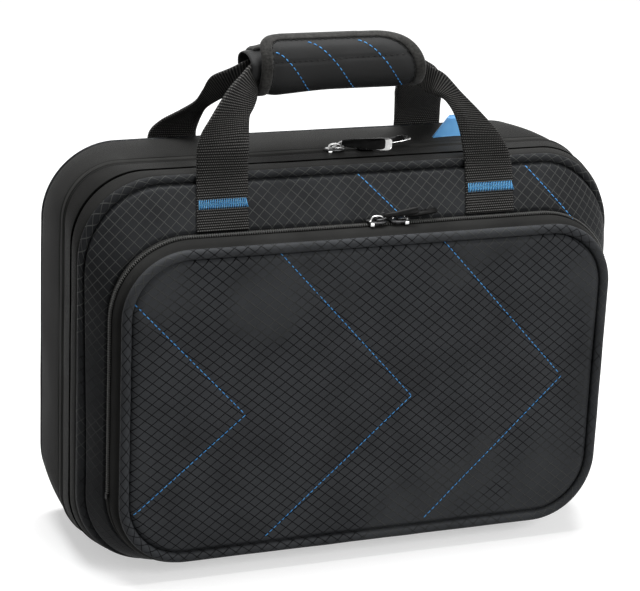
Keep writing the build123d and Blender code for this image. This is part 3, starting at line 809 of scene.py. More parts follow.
def main_coils():
    rear, front = coils(body(ZIP_Y), ZIP_Y, ZIP_RUN, -1.3, -1, ("rear_coil", "front_coil"))
    dress(rear, "back_half", "coil", "back_zip_coil")
    dress(front, "lid", "coil", "front_zip_coil")


# ---- lid: wall, rolled edge, shoulder ----
def lid_seam():
    """Near-black cord in the seam between the zipper strip and the lid's wall: painted shade for
    the seam's groove.
    """
    section = [(SEAM_Y + 0.1 + 0.95 * math.cos(a), 0.25 + 0.95 * math.sin(a))
               for a in np.arange(12) * math.pi / 6]
    strip("lid_seam_painted_shade", section, ZIP_RUN, PAINTED_SHADE_CORD, "lid", "tape", closed=False)


def front_wall():
    s, f = SEAM_Y, FRONT_Y
    section = loop([(s - 0.7, -2.1), (s - 0.7, -1.1), (s - 0.9, 0.1), (s - 1.9, 0.8), (s - 5, 1.1),
                    (s - 9, 0.9), (f + 0.5, 0.4), (f - 0.6, -0.8), (f + 0.6, -1.7), (s - 5, -1.3),
                    (s - 1.0, -2.0)])
    strip("lid_wall_cloth", section, places(), TWILL, "lid", "twill", "front_wall", amount=0.3,
          size=35.0, seed=7.0)


def slope_frame(q):
    """The flat shoulder at q: its top, its foot, its direction down, its length and its
    normal."""
    top, _ = ring(body(FRONT_Y), FRONT_Y, 0.0, q)
    foot, _ = ring(POCKET_AT_ZIP, SHOULDER_Y, 0.0, q)
    length = np.linalg.norm(foot - top, axis=1)
    run = (foot - top) / length[:, None]
    normal = unit(np.cross(np.roll(top, -1, 0) - np.roll(top, 1, 0), run))
    normal *= np.where(normal[:, 1:2] > 0, -1.0, 1.0)
    return top, foot, run, length, normal


def edge_roll(q):
    """Half width of the lid's rolled edge, which is wider down the sides."""
    _, normals = ring(body(FRONT_Y), 0, 0, q)
    return ROLL * (0.9 + 0.38 * normals[:, 0] ** 2)


def front_roll():
    q = places()
    top, _, run, _, normal = slope_frame(q)
    half = edge_roll(q)
    centres = top + run * (half - 0.4)[:, None] - normal * (ROLL * 0.85 - 1.5)
    obj = roll("lid_edge_roll", centres, run, half, (0.85 * ROLL / half)[:, None])
    dress(obj, "lid", "piping", "front_piping")


def shoulder_lift(p):
    """How far the shoulder's cloth stands off its flat slope, at share p of its way down."""
    return (-1.3 + 2.6 * ease(p / 0.12) + 0.5 * np.sin(math.pi * np.clip(p, 0, 1))
            - 0.9 * ease((p - 0.93) / 0.07))


SHOULDER_WEAVE = (1.13, 0.90)      # how the shoulder's cloth is drawn in and stretched


def shoulder():
    """Padded ripstop slope, closed by a back skin. Its weave is that of the cloth laid flat in
    the pocket's plane: each point moves outwards by what the slope is longer than its plan."""
    q = places()
    top, foot, run, length, normal = slope_frame(q)
    shares = np.concatenate([np.linspace(0, 0.12, 6)[:-1], np.linspace(0.12, 0.9, 16)[:-1],
                             np.linspace(0.9, 1.0, 6)])
    start = (2 * edge_roll(q) - 0.5) / length
    outwards = ring(POCKET_AT_ZIP, 0, 0, q)[1]
    reach = np.sum((top - foot) * outwards, axis=1)
    gain = np.hypot(reach, SHOULDER_Y - FRONT_Y) - reach
    front, back, weave = [], [], []
    for p in shares:
        t = start + (1 - start) * p
        base = top + run * (t * length)[:, None]
        wave = 0.5 * rumple(base, 38.0, 11.0) * math.sin(math.pi * p)
        front.append(base + normal * (shoulder_lift(p) + wave)[:, None])
        back.append(base - normal * 1.9)
        laid = base + outwards * ((1 - t) * gain)[:, None]
        weave.append(laid[:, [0, 2]] * SHOULDER_WEAVE)
    weave = np.array(weave + weave[::-1] + weave[:1])
    weave = np.concatenate([weave, weave[:, :1]], 1)
    obj = sheet("shoulder_cloth", np.array(front + back[::-1]), RIPSTOP, True, weave)
    return dress(obj, "lid", "ripstop", "front_panel")


# ---- pocket ----
CREASE_HALF = 5          # half height of the pocket's bend
FOLD = ((0, POCKET_Y, CREASE_Z - CREASE_HALF), (0, POCKET_Y, CREASE_Z + CREASE_HALF))


def side_place(z, outline):
    """Place on the right side of an outline at height z."""
    _, bottom, top, radius, _ = outline
    return 2 + (z - bottom - radius) / (top - bottom - 2 * radius)


CREASE_Q = side_place(CREASE_Z, POCKET_AT_ZIP)
POCKET_RUN = places(CREASE_Q, 9 - CREASE_Q)      # places that the pocket's zipper runs past


def at_zip(y):
    """Outline of the pocket's zipper and base, the same at every station y."""
    return POCKET_AT_ZIP


def pocket_tape():
    z, s = POCKET_ZIP_Y, SHOULDER_Y
    section = loop([(s - 0.1, -0.9), (s - 0.6, 0.15), (s - 2.5, 0.25), (z + 1.4, 0.15),
                    (z + 0.9, -0.4), (z + 1.4, -1.1), (s - 1.5, -1.25)], 4)
    strip("pocket_rear_tape", section, POCKET_RUN, TAPE, "lid", "tape", "pocket_rear_tape",
          closed=False, outline=at_zip, amount=0.2, size=25.0)


def pocket_coils():
    rear, front = coils(POCKET_AT_ZIP, POCKET_ZIP_Y, POCKET_RUN, 0.35, 1,
                        ("pocket_coil_rear", "pocket_coil_front"))
    dress(rear, "lid", "coil", "pocket_rear_coil")
    dress(front, "pocket_flap", "coil", "pocket_front_coil")


def pocket_band():
    """Cloth band between the pocket zipper and the pocket's face, one piece all round, and
    the strip behind it at the base."""
    z, f, s = POCKET_ZIP_Y, POCKET_Y, SHOULDER_Y
    section = loop([(z - 0.8, -1.0), (z - 0.9, -0.1), (z - 2.2, 0.45), (z - 4.5, 0.7),
                    (z - 6.8, 0.3), (f + 3.6, -0.9), (f + 2.6, -1.5), (f + 3.0, -2.0),
                    (z - 5, -1.2), (z - 2, -1.3)])
    obj = band("pocket_band_cloth", section, places(), TWILL, outline=pocket, amount=0.3,
               size=30.0)
    bend(obj, "lid", "pocket_flap", *FOLD, "twill", "pocket_flap_band")
    section = loop([(s - 0.2, -0.9), (s - 0.7, 0.1), (z + 1.5, 0.35), (z - 0.6, 0.1),
                    (z - 0.2, -1.0), (s - 2, -1.2)], 4)
    strip("pocket_base_strip", section, places(-CREASE_Q, CREASE_Q), TWILL, "lid", "twill",
          "pocket_base_band", closed=False, outline=at_zip)


def pocket_roll():
    centres, normals = ring(pocket(POCKET_Y), POCKET_Y + 0.7, -ROLL + 0.6, places())
    obj = roll("pocket_edge_roll", centres, normals, ROLL, 0.85)
    bend(obj, "lid", "pocket_flap", *FOLD, "piping", "pocket_flap_piping", "pocket_base_piping")


# Blue stitched chevrons on the pocket's face: corner points in (x, z), and their straight seams.
CHEVRONS = (((-149.0, 178.8), (-78.3, 103.0), (-150.0, 43.0)),
            ((-61.3, 204.5), (29.4, 104.9), (-63.9, 21.2)),
            ((44.4, 203.8), (131.7, 108.4), (42.5, 21.8)))
FACE_SEAMS = [pair for chevron in CHEVRONS for pair in zip(chevron, chevron[1:])]
SHOULDER_SEAMS = (((0.9, 238.0), (25.6, 213.6)), ((111.2, 238.6), (146.5, 198.8)))


def seam_distance(xz):
    """Distance of each (x, z) from the nearest chevron seam."""
    best = np.full(xz.shape[:-1], 1e9)
    for a, b in np.array(FACE_SEAMS):
        t = np.clip(((xz - a) @ (b - a)) / ((b - a) @ (b - a)), 0, 1)
        best = np.minimum(best, np.linalg.norm(xz - a - t[..., None] * (b - a), axis=-1))
    return best


CLOTH = {"vertex_group_mass": "held", "quality": 6, "mass": 0.3, "tension_stiffness": 25,
         "compression_stiffness": 25, "bending_stiffness": 4, "use_pressure": True,
         "uniform_pressure_force": 6}
CLOTH_STEPS = 20


def puff(xz, depth, seams):
    """Quilted swell of the pocket's face by cloth simulation, in mm: the cloth is held along
    its edge and its seams, and pressed out between them."""
    rows, cols = xz.shape[:2]
    obj = make("quilting", upright(xz).reshape(-1, 3), quads(rows, cols).tolist(), RIPSTOP)
    held = (depth < 1.0) | (seams < 2.0)
    group = obj.vertex_groups.new(name="held")
    group.add(np.flatnonzero(held.ravel()).tolist(), 1.0, "REPLACE")
    cloth = obj.modifiers.new("cloth", "CLOTH")
    for key, value in CLOTH.items():
        setattr(cloth.settings, key, value)
    cloth.settings.effector_weights.gravity = 0
    cloth.collision_settings.use_collision = False
    scene = bpy.context.scene
    for step in range(1, CLOTH_STEPS + 1):
        scene.frame_set(step)
    graph = bpy.context.evaluated_depsgraph_get()
    result = obj.evaluated_get(graph).to_mesh()
    moved = np.array([v.co for v in result.vertices], float)[:, 1] / MM
    scene.frame_set(1)
    discard(obj)
    return np.abs(moved).reshape(rows, cols)


def pocket_face():
    outline, inset = pocket(POCKET_Y), 5.3
    xz = panel_grid(outline, inset, 150, 70, 22)
    depth = edge_distance(xz, outline, inset)
    seams = seam_distance(xz)
    swell = puff(xz, depth, seams)
    swell = swell * min(1.0, 3.0 / max(swell.max(), 1e-6))
    y = (POCKET_Y + 1.9 - 2.7 * ease(depth / 3.6) - swell
         + 0.7 * np.exp(-(seams / 1.3) ** 2) + 0.35 * rumple(upright(xz), 45.0, 2.0))
    obj = padded_panel("pocket_face", xz, y, y.max() + 0.8, RIPSTOP)
    bend(obj, "lid", "pocket_flap", *FOLD, "ripstop", "pocket_flap_panel", "pocket_base_panel")
    return obj


def zip_stops():
    """Bar-tacked ends of the pocket zipper."""
    made = []
    low, high = extent("pocket_zip_stops")
    for x in (low[0], high[0]):
        points = []
        for k in range(9):
            y = low[1] + (high[1] - low[1]) * (0.5 + 0.5 * (-1) ** k * 0.9)
            points.append((x, y, low[2] + (high[2] - low[2]) * k / 8))
        made.append(tube(f"stop_{len(made)}", smooth(points, 4), 0.45, BLACK_THREAD, sides=8))
    dress(join("pocket_zip_stops_thread", made), "lid", "webbing", "pocket_zip_stops")


# ---- stitching ----
def surface_of(*objects):
    """Ray target made of objects, in mm."""
    points, faces = [], []
    for obj in objects:
        base = len(points)
        points += [v.co / MM for v in obj.data.vertices]
        faces += [tuple(base + i for i in p.vertices) for p in obj.data.polygons]
    return BVHTree.FromPolygons(points, faces)


def cast(tree, rays):
    """Points where rays meet a surface, and its normals on that side. A ray is its start, its
    direction and its length."""
    where, normals = [], []
    for start, way, reach in rays:
        hit, normal, _, _ = tree.ray_cast(start, way, reach)
        if hit is not None:
            where.append(np.array(hit))
            normals.append(-np.array(normal) if normal.dot(way) > 0 else np.array(normal))
    return np.array(where), np.array(normals)


# Rings of one stitch: share of its length, share of its girth, and rise in radii.
STITCH = ((0.0, 0.35, -0.7), (0.12, 0.8, -0.1), (0.35, 1.0, 0.3), (0.65, 1.0, 0.3),
          (0.88, 0.8, -0.1), (1.0, 0.35, -0.7))
STITCH_LIFT = 0.08       # height of a stitch's middle over the cloth
STITCH_FLAT = 0.7        # its thickness over its width


def stitches(name, path, normals, material, length=2.8, gap=0.7, radius=0.34):
    """Sewn line: one rounded stitch after another along a path on a surface."""
    s = lengths(path)
    starts = np.arange(0.0, s[-1] - length, length + gap)
    rings = []
    for share, girth, rise in STITCH:
        at = starts + share * length
        p, n = sample(at, s, path), unit(sample(at, s, normals))
        side = np.cross(unit(sample(at + 0.2, s, path) - p), n)
        rings.append(circle(p + n * (STITCH_LIFT + rise * radius), side * (radius * girth),
                            n * (radius * STITCH_FLAT * girth), 8))
    return bars(name, rings, material)


def seam_points(a, b, step=1.5):
    """Evenly spaced (x, z) along a straight seam."""
    a, b = np.array(a), np.array(b)
    n = max(2, int(np.linalg.norm(b - a) / step))
    return [a + (b - a) * k / n for k in range(n)] + [b]


IN_FRONT, FAR = -400.0, 1000.0           # start and length of a ray from the front


def front_stitching(name, cloth, seams):
    """Blue stitching on a cloth that faces the front."""
    tree = surface_of(cloth)
    made = []
    for a, b in seams:
        rays = [(Vector((x, IN_FRONT, z)), Vector((0, 1, 0)), FAR) for x, z in seam_points(a, b)]
        made.append(stitches("seam", *cast(tree, rays), BLUE))
    return join(name, made)


# ---- webbing ----
RIB = 0.3        # how far its ribs stand up
WEB = 1.0        # half thickness
WEB_WIDE = 32.0
CREASE = 0.78    # where a strap's soft fold lies across its width


def webbing(name, stations):
    """Ribbed strip through stations (outer edge, inner edge, bow), seven numbers each. The bow
    is how far the strip stands up in a soft fold near its inner edge."""
    curve = smooth(stations, 24)
    s = lengths((curve[:, 0:3] + curve[:, 3:6]) / 2)
    at = np.arange(0, s[-1], RIB_PITCH / 4)
    curve = sample(at, s, curve)
    outer, inner, bow = curve[:, 0:3], curve[:, 3:6], curve[:, 6]
    across = inner - outer
    normal = unit(np.cross(np.gradient((outer + inner) / 2, axis=0), across))
    shares = np.array([0.0, 0.03, 0.1, 0.2, 0.3, 0.4, 0.5, 0.6, 0.7, 0.74, CREASE, 0.82, 0.9, 0.97,
                       1.0])
    shares = np.concatenate([shares, shares[::-1]])
    rib = RIB * np.abs(np.sin(math.pi * at / RIB_PITCH))
    rows = []
    for k, f in enumerate(shares):
        edge = min(f, 1 - f)
        thick = WEB * (0.55 if edge < 0.01 else 0.9 if edge < 0.05 else 1.0)
        fold = f / CREASE if f < CREASE else (1 - f) / (1 - CREASE)
        lift = ((thick + (rib if edge > 0.02 else 0.3 * rib)) * (1 if k < len(shares) / 2 else -1)
                + bow * fold ** 1.2)
        rows.append(outer + across * f + normal * lift[:, None])
    weave = np.stack(np.meshgrid(at, np.append(shares * WEB_WIDE, 0.0)), -1)[..., ::-1]
    return sheet(name, np.array(rows), WEBBING, weave=weave)


# Stations of each leg from its sewn end upwards.
FRONT_LEFT = [(-106, -45.2, 213.2, -74, -45.2, 213.2, 0), (-105, -40.6, 221, -73.1, -40.6, 221, 0),
    (-104, -36.6, 228, -72.1, -36.6, 228, 0), (-102.8, -32.2, 236, -70.9, -32.2, 236, 0),
    (-102.1, -29.6, 243, -70.2, -29.6, 243, 0), (-102, -28.8, 251, -70, -28.3, 250, 0),
    (-101.9, -28.6, 260, -69, -26, 259, -1), (-99.2, -28.6, 268.9, -66.5, -18, 267, -3.5),
    (-94, -27.5, 276.5, -64, -11, 272.5, -5), (-86.5, -24, 286, -61, -6, 276.5, -5.5),
    (-79, -18.5, 293, -58.8, -3, 280, -5), (-70, -11, 298, -57, -1.2, 283, -3),
    (-61, -3.5, 303, -55, -0.8, 286.5, -1), (-50, -0.5, 308.5, -48, -0.5, 289.5, 0),
    (-38, -0.5, 310.8, -38, -0.5, 291.6, 0)]
FRONT_RIGHT = [(98.6, -45.2, 213.2, 66.6, -45.2, 213.2, 0),
    (99.9, -40.6, 221, 67.9, -40.6, 221, 0), (101.1, -36.6, 228, 69.2, -36.6, 228, 0),
    (102, -32.2, 236, 70.4, -32.2, 236, 0), (101.8, -29.6, 242, 70.6, -29.6, 243, 0),
    (99.2, -28.6, 250, 69.6, -28.5, 250, 0), (93, -26.5, 260, 67.5, -26, 262, -1),
    (83, -22, 271, 65, -21, 272, -1.5), (73, -14.5, 282, 62, -13, 278, -1.5),
    (65, -6, 292, 58, -6, 279, -1), (56, -1.5, 297, 54.5, -1, 280, 0),
    (38, -0.5, 308, 38, -0.5, 288, 0)]
REAR_LEFT = [(-104.3, 61.6, 209, -72.3, 61.6, 209, 0), (-104.3, 61.6, 225, -72.3, 61.6, 225, 0),
    (-104.3, 63.2, 238, -72.3, 63.2, 238, 0), (-103, 63, 247, -72.6, 63, 246, 0),
    (-97.3, 60, 254, -72.6, 58, 253, 1), (-89, 50, 262, -74, 48, 260, 1.5),
    (-82.5, 38, 271, -75, 37, 267, 1), (-80.5, 28, 281, -73, 27, 273, 0),
    (-78, 20.5, 290.5, -68.5, 18.5, 278.5, 0), (-68.4, 14, 296.8, -62, 12.5, 282, 0),
    (-57, 10.8, 303, -55.5, 10.8, 284.5, 0), (-38, 10.5, 311, -38, 10.5, 291, 0)]
REAR_RIGHT = [(94.3, 61.6, 209, 62.3, 61.6, 209, 0), (94.3, 61.6, 225, 62.3, 61.6, 225, 0),
    (94.3, 63.2, 238, 62.3, 63.2, 238, 0), (94, 62.5, 248, 62, 62.5, 248, 0),
    (91.5, 57, 257, 59.4, 57, 256, 0), (87.3, 47, 266, 54.9, 47, 264.5, 0),
    (81, 34, 277, 49.6, 35, 272.5, 0), (72.5, 21.5, 288, 46.6, 24.5, 280, 0),
    (61, 13.5, 296, 47, 15.5, 284.5, 0), (38, 10.5, 308, 38, 10.5, 289, 0)]
STRAP_BEND = (242.5, 250.0)      # heights between which a strap bends with the grip


def straps():
    for name, stations, body_name, handle, y, nodes in (
            ("front_webbing", FRONT_LEFT + FRONT_RIGHT[::-1], "lid", "front_handle", -28,
             ("front_strap", "front_strap_ends")),
            ("rear_webbing", REAR_LEFT + REAR_RIGHT[::-1], "back_half", "rear_handle", 63,
             ("rear_strap", "rear_strap_ends"))):
        start, end = ((0, y, z) for z in STRAP_BEND)
        bend(webbing(name, stations), body_name, handle, start, end, "webbing", *nodes)


TACK_Z = 228.0
TACK_TALL = 4.6
TACK_TURNS = 54


def zigzag(name, x0, x1, y, tilt):
    """Dense bar tack across the webbing. tilt is how far it goes back on its way up."""
    points = []
    for k in range(TACK_TURNS + 1):
        up = TACK_TALL / 2 * (1 if k % 2 else -1)
        points.append((x0 + (x1 - x0) * k / TACK_TURNS, y + tilt * up, TACK_Z + up))
    return tube(name, points, 0.46, TACK_BLUE_PAINTED_LIGHTER, sides=8,
                across=np.tile([[0.0, 1.0, 0.0]], (len(points), 1)))


def tacks():
    for end, body_name, y, tilt, spans in (
            ("front", "lid", -38.0, 0.6, ((-103.0, -73.0), (70.3, 100.3))),
            ("rear", "back_half", 63.0, 0.0, ((-103.0, -73.5), (63.5, 93.0)))):
        obj = join(f"{end}_tack_thread", [zigzag("tack", *span, y, tilt) for span in spans])
        dress(obj, body_name, "blue_thread", f"{end}_bar_tacks")


TAG_LEFT = 70.5
TAG_WIDE = 24.0


def side_tag():
    """Folded satin ribbon sewn into the seam of the back wall, leaning and a little curled."""
    low, high = extent("side_tag")
    y = (low[1] + high[1]) / 2
    f, g = np.linspace(0, 1, 13)[:, None], np.linspace(0, 1, 15)[None]
    up = 15.5 * (1 - np.abs(2 * f - 1)) ** 0.9
    lean = up / 15
    outer = np.stack([TAG_LEFT + 12.5 * lean * (1 - 0.4 * g) + TAG_WIDE * g,
                      y - 1.0 + 2.0 * f + 1.6 * (up - 1) / 15 + 1.2 * np.sin(3 * g),
                      HEIGHT - 1.0 + up - 4.5 * g * g * lean], -1)
    inner = outer.copy()
    inner[..., 2] -= 0.45
    inner[..., 1] = y + (outer[..., 1] - y) * 0.7
    obj = sheet("side_tag_ribbon", np.concatenate([outer, inner[::-1]]), RIBBON)
    dress(obj, "back_half", "tag", "side_tag")


# ---- grip ----
# The wrap's cover is laid out flat as (x, angle): the angle runs round the grip from the flap's
# free edge on top, down its front, under and up the back.
FLAP_EDGE = 98.0         # free edge of the flap
BACK_EDGE = 453.0        # top edge of the fixed part
COVER = 2.4              # thickness of the cover
GRIP_RADIUS = 17.5
COVER_LEFT, COVER_RIGHT = -56.0, 50.5
BINDING = 6.6            # width of the tape bound over the cover's edges
LAID = np.array([1.0, math.radians(GRIP_RADIUS)])        # mm of cloth to each x and degree
UNDER = 0.25             # how far the fixed part lies under the flap


def left_end(angle):
    """Left end of the cover at an angle: the flap's corner is round."""
    f = np.clip((142.0 - angle) / 44.0, 0, 1)
    return COVER_LEFT + 14.0 * (1 - np.sqrt(1 - f ** 2))


def right_end(angle):
    """Right end of the cover at an angle, with the flap's longer corner."""
    f = np.clip((215.0 - angle) / 117.0, 0, 1)
    return COVER_RIGHT - 32.0 * (1 - np.sqrt(1 - f ** 2))


def round_grip(x, a, radius, rise=0.0):
    """Points at an angle a and a radius round the grip's axis."""
    return np.stack([x, GRIP_Y + radius * np.cos(a), GRIP_Z + radius * np.sin(a) + rise], -1)


def on_cover(x, angle, lift):
    """Point at (x, angle) and a height over the cover. The grip hangs a little to the left,
    and its back sinks towards both ends where the flap doesn't hold it up."""
    a = np.radians(angle)
    behind = ease((np.asarray(angle, float) - 330) / 60)
    left, right = ease((-x - 38) / 16), ease((x - 10) / 34)
    sink = behind * np.maximum(np.sin(a), 0) * (1.5 + 7.0 * left + 10.5 * right)
    sag = 2.6 * ease((-x - 5) / 50) * np.maximum(-np.sin(a), 0)
    return round_grip(x + 0 * a, a, GRIP_RADIUS + lift, -sink - sag)


def boundary(a0, a1, top):
    """Edge of a cover piece as (x, angle): down its left end, and back up its right end. top
    says that the piece has a free edge at a0, which joins the ends."""
    angles = a0 + (a1 - a0) * (1 - np.cos(np.linspace(0, math.pi / 2, 60))) if top \
        else np.linspace(a0, a1, 60)
    left = np.stack([left_end(angles), angles], -1)
    right = np.stack([right_end(angles), angles], -1)
    if not top:
        return left, right
    across = np.linspace(left[0, 0], right[0, 0], 30)[1:-1]
    line = np.stack([across, np.full(28, a0)], -1)
    return np.concatenate([left[::-1], line, right])


def fold_angle(x):
    """Where the seam along the flap runs."""
    return 170.0 - 0.09 * (x + 48.0)


def within(edge, inward, reach):
    """Line of (x, angle) at a distance inside an edge. inward is +1 where the cover lies to
    the left of the edge's way."""
    line = edge * LAID
    run = unit(np.gradient(line, axis=0))
    into = np.stack([-run[:, 1], run[:, 0]], -1) * inward
    return (line + into * reach) / LAID


def cover_sheet(name, a0, a1, lower, edges):
    """Closed padded sheet of the cover between two angles."""
    share = 1 - np.cos(np.linspace(0, math.pi / 2, 46))
    angles = a0 + (a1 - a0) * (share if a0 == FLAP_EDGE else np.linspace(0, 1, 70))
    f = np.concatenate([[0, 0.01, 0.03], np.linspace(0.06, 0.94, 62), [0.97, 0.99, 1]])
    left, right = left_end(angles), right_end(angles)
    x = left[None] + f[:, None] * (right - left)[None]
    xa = np.stack([x, np.broadcast_to(angles, x.shape)], -1)
    rim = np.concatenate(edges) * LAID
    near = np.linalg.norm((xa * LAID)[:, :, None] - rim[None, None], axis=-1).min(-1)
    swell = (0.9 * ease((near - BINDING - 0.6) / 7) - 0.5 * (1 - ease(near / 3)) - lower
             - 0.6 * np.exp(-((near - BINDING - 0.5) / 0.8) ** 2))
    seam = 0.9 * np.exp(-((xa[..., 1] - fold_angle(x)) / 2.2) ** 2)
    obj = pad(name, on_cover(x, xa[..., 1], swell - seam), on_cover(x, xa[..., 1], -COVER - lower),
              xa * LAID, NEOPRENE)
    return obj


def binding(name, edge, inward, lower=0.0):
    """Tape folded over an edge of the cover."""
    section = [(BINDING, -0.1), (BINDING - 0.3, 0.45), (BINDING - 1.5, 0.6), (3.0, 0.7), (1.0, 0.6),
               (0.1, 0.1), (-0.5, -0.9), (0.1, -COVER - 0.1), (1.5, -COVER - 0.5),
               (5.0, -COVER - 0.5), (5.2, -COVER + 0.3)]
    rows = [on_cover(*within(edge, inward, reach).T, lift - lower) for reach, lift in section]
    return sheet(name, np.array(rows), BINDING_CLOTH)


def grip_stitches(name, line, tree, material, **sewn):
    """Sewn line along (x, angle) on the cover."""
    rays = []
    for x, angle in line:
        out = Vector((0, math.cos(math.radians(angle)), math.sin(math.radians(angle))))
        rays.append((Vector((x, GRIP_Y, GRIP_Z)) + out * 40, -out, 30))
    return stitches(name, *cast(tree, rays), material, **sewn)


GRIP_SEAMS = (((-47.5, 149), (-22.0, 246)), ((-26.0, 129), (7.5, 246)), ((6.5, 129), (39.5, 246)))
LIFT_START, LIFT_END = 238.0, 212.0       # angles between which the flap bends


def lifts(obj, slot, *nodes):
    """Piece of the grip's flap: hides its CAD nodes and bakes its placing."""
    ends = (round_grip(0, math.radians(angle), GRIP_RADIUS) for angle in (LIFT_START, LIFT_END))
    return bend(obj, "front_handle", "grip_closure", *ends, slot, *nodes)


def grip():
    """The wrap's cover in two pieces, its bindings and its seams."""
    flap_edge = boundary(FLAP_EDGE, 236.0, True)
    left, right = boundary(228.0, BACK_EDGE, False)
    flap = cover_sheet("grip_flap_cover", FLAP_EDGE, 240.0, 0.0, [flap_edge])
    under = cover_sheet("grip_back_cover", 232.0, BACK_EDGE, UNDER, [left, right])
    tree = surface_of(flap, under)
    dress(under, "front_handle", "neoprene", "grip_wrap")
    lifts(flap, "neoprene", "grip_flap")
    lifts(binding("grip_flap_binding", flap_edge, 1), "tape")
    sides = [binding("bind_left", left, -1, UNDER), binding("bind_right", right, 1, UNDER)]
    dress(join("grip_back_binding", sides), "front_handle", "tape")
    blue = []
    for (x0, a0), (x1, a1) in GRIP_SEAMS:
        line = [(x0 + (x1 - x0) * f ** 0.75, a0 + (a1 - a0) * f) for f in np.linspace(0, 1, 50)]
        blue.append(grip_stitches("seam", line, tree, BLUE, length=2.6, gap=1.1))
    lifts(join("grip_blue_stitching", blue), "blue_thread")
    lines = [[(x, fold_angle(x)) for x in np.linspace(-48, 38, 60)],
             within(flap_edge, 1, BINDING + 0.5)]
    dark = [grip_stitches("seam", line, tree, BLACK_THREAD, length=2.4, gap=1.3, radius=0.36)
            for line in lines]
    lifts(join("grip_black_stitching", dark), "webbing")


CORE_RADIUS = 13.7
CORE_WALL = 1.7
CORE_LEFT, CORE_RIGHT = -61.5, 49.0
CORE_ANGLES = np.linspace(100, 459.6, 72)        # all but closed along a slit on top


def grip_core():
    """Inner sleeve of the wrap: a soft tube that reaches out of its left end."""
    a = np.radians(CORE_ANGLES)
    outer, inner = [], []
    for share in np.concatenate([[0, 0.01, 0.03], np.linspace(0.05, 0.95, 36), [0.975, 0.99, 1]]):
        x = CORE_LEFT + share * (CORE_RIGHT - CORE_LEFT) + 0 * a
        tuck = 0.9 * (1 - ease(min(share, 1 - share) * 110 / 2.0))
        sink = np.maximum(np.sin(a), 0) * (6.5 * ease((-x - 40) / 14) + 9.0 * ease((x - 14) / 30))
        flare = 1.6 * ease((-x - 48) / 12) * np.maximum(-np.sin(a), 0)
        for rows, radius in ((outer, CORE_RADIUS - tuck),
                             (inner, CORE_RADIUS - CORE_WALL + 0.5 * tuck)):
            rows.append(round_grip(x, a, radius, flare * np.sin(a) - sink))
    outer, inner = (np.array(rows).transpose(1, 0, 2) for rows in (outer, inner))
    obj = sheet("grip_core", np.concatenate([outer, inner[::-1]]), NEOPRENE)
    dress(obj, "front_handle", "neoprene")


def grip_tapes():
    """Hook and loop tapes between the flap and the sleeve."""
    angles, xs = np.meshgrid(np.radians(np.linspace(112, 165, 20)), np.linspace(-40, 24, 40),
                             indexing="ij")
    half = 0.28
    for node, name, body_name, radius in (("grip_loop_tape", "loop_tape", "front_handle", 14.1),
                                          ("grip_hook_tape", "hook_tape", "grip_closure", 14.8)):
        over, below = (round_grip(xs, angles, r) for r in (radius + half, radius - half))
        obj = sheet(name, np.concatenate([over, below[::-1]]), PLUSH)
        dress(obj, body_name, "hook_loop", node)


# ---- sliders and pulls ----
# Levels of a rounded plate's rings: share of its thickness, and how far a ring is drawn in.
PLATE_RINGS = ((0.0, 0.35), (0.12, 0.1), (0.35, 0.0), (0.65, 0.0), (0.88, 0.1), (1.0, 0.35))


def lozenge(length, width, thick, z, n=28, power=2.6):
    """Rounded plate as rings of points: a superellipse with softened edges."""
    a = np.arange(n) * 2 * math.pi / n
    c, s = (np.sign(v) * np.abs(v) ** (2 / power) for v in (np.cos(a), np.sin(a)))
    return np.array([np.stack([(length / 2 - shrink) * c, (width / 2 - shrink) * s,
                               np.full(n, z + level * thick)], -1)
                     for level, shrink in PLATE_RINGS])


def plate(name, rings, material):
    """Solid through stacked rings of points, closed at both ends."""
    rows, n = rings.shape[:2]
    points = np.concatenate([rings.reshape(-1, 3), [rings[0].mean(0)], [rings[-1].mean(0)]])
    faces = quads(rows, n, loop_cols=True).tolist()
    for i in range(n):
        j = (i + 1) % n
        faces += [(rows * n, j, i), (rows * n + 1, (rows - 1) * n + i, (rows - 1) * n + j)]
    return solid(name, points, faces, material)


def turned(obj, yaw=0.0, pitch=0.0, at=(0, 0, 0)):
    """Turns a mesh about Z, then tips it up about Y, and sets it at a point in mm."""
    tip = Matrix.Rotation(math.radians(-pitch), 4, "Y")
    turn = Matrix.Rotation(math.radians(yaw), 4, "Z")
    obj.data.transform(Matrix.Translation(Vector(at) * MM) @ tip @ turn)
    return obj


def rolled(points, angle, start, end, lever):
    """Rolls points of a pull about its length, more and more from start to end, on the edge
    that lies `lever` towards the front."""
    a = np.radians(angle) * ease((points[..., 0] - start) / (end - start))
    y, z = points[..., 1], points[..., 2]
    return np.stack([points[..., 0], y * np.cos(a) - z * np.sin(a),
                     y * np.sin(a) + z * np.cos(a) + lever * np.sin(a)], -1)


def arch(name, length, height, width, thick):
    """Bridge of a slider: a flat bar bent over its plate."""
    f = np.linspace(0, math.pi, 17)
    points = np.stack([-length / 2 * np.sign(np.cos(f)) * np.abs(np.cos(f)) ** 0.7, 0 * f,
                       height * np.sin(f) ** 0.7], -1)
    across = np.tile([[0.0, 1.0, 0.0]], (len(points), 1))
    return tube(name, points, width / 2, NICKEL, sides=12, across=across, squash=thick / width)


# name: tab width, thickness and bright end; for each side X, length, yaw, pitch and roll
SLIDERS = {
    "main": {"tab": (9.6, 1.2, 3.6), "left": (-1.0, 31.5, -29.0, 3.0, 52.0),
             "right": (20.0, 26.0, 8.0, 5.0, 8.0)},
    "pocket": {"tab": (5.2, 1.3, 0.0), "left": (5.5, 22.0, -9.0, 9.0, 50.0),
               "right": (19.5, 22.0, 6.0, 5.0, 25.0)},
}
TAB_START = 4.5          # distance of a tab from its slider's middle
BRIDGE = 3.0             # height of a slider's bridge over its upper plate
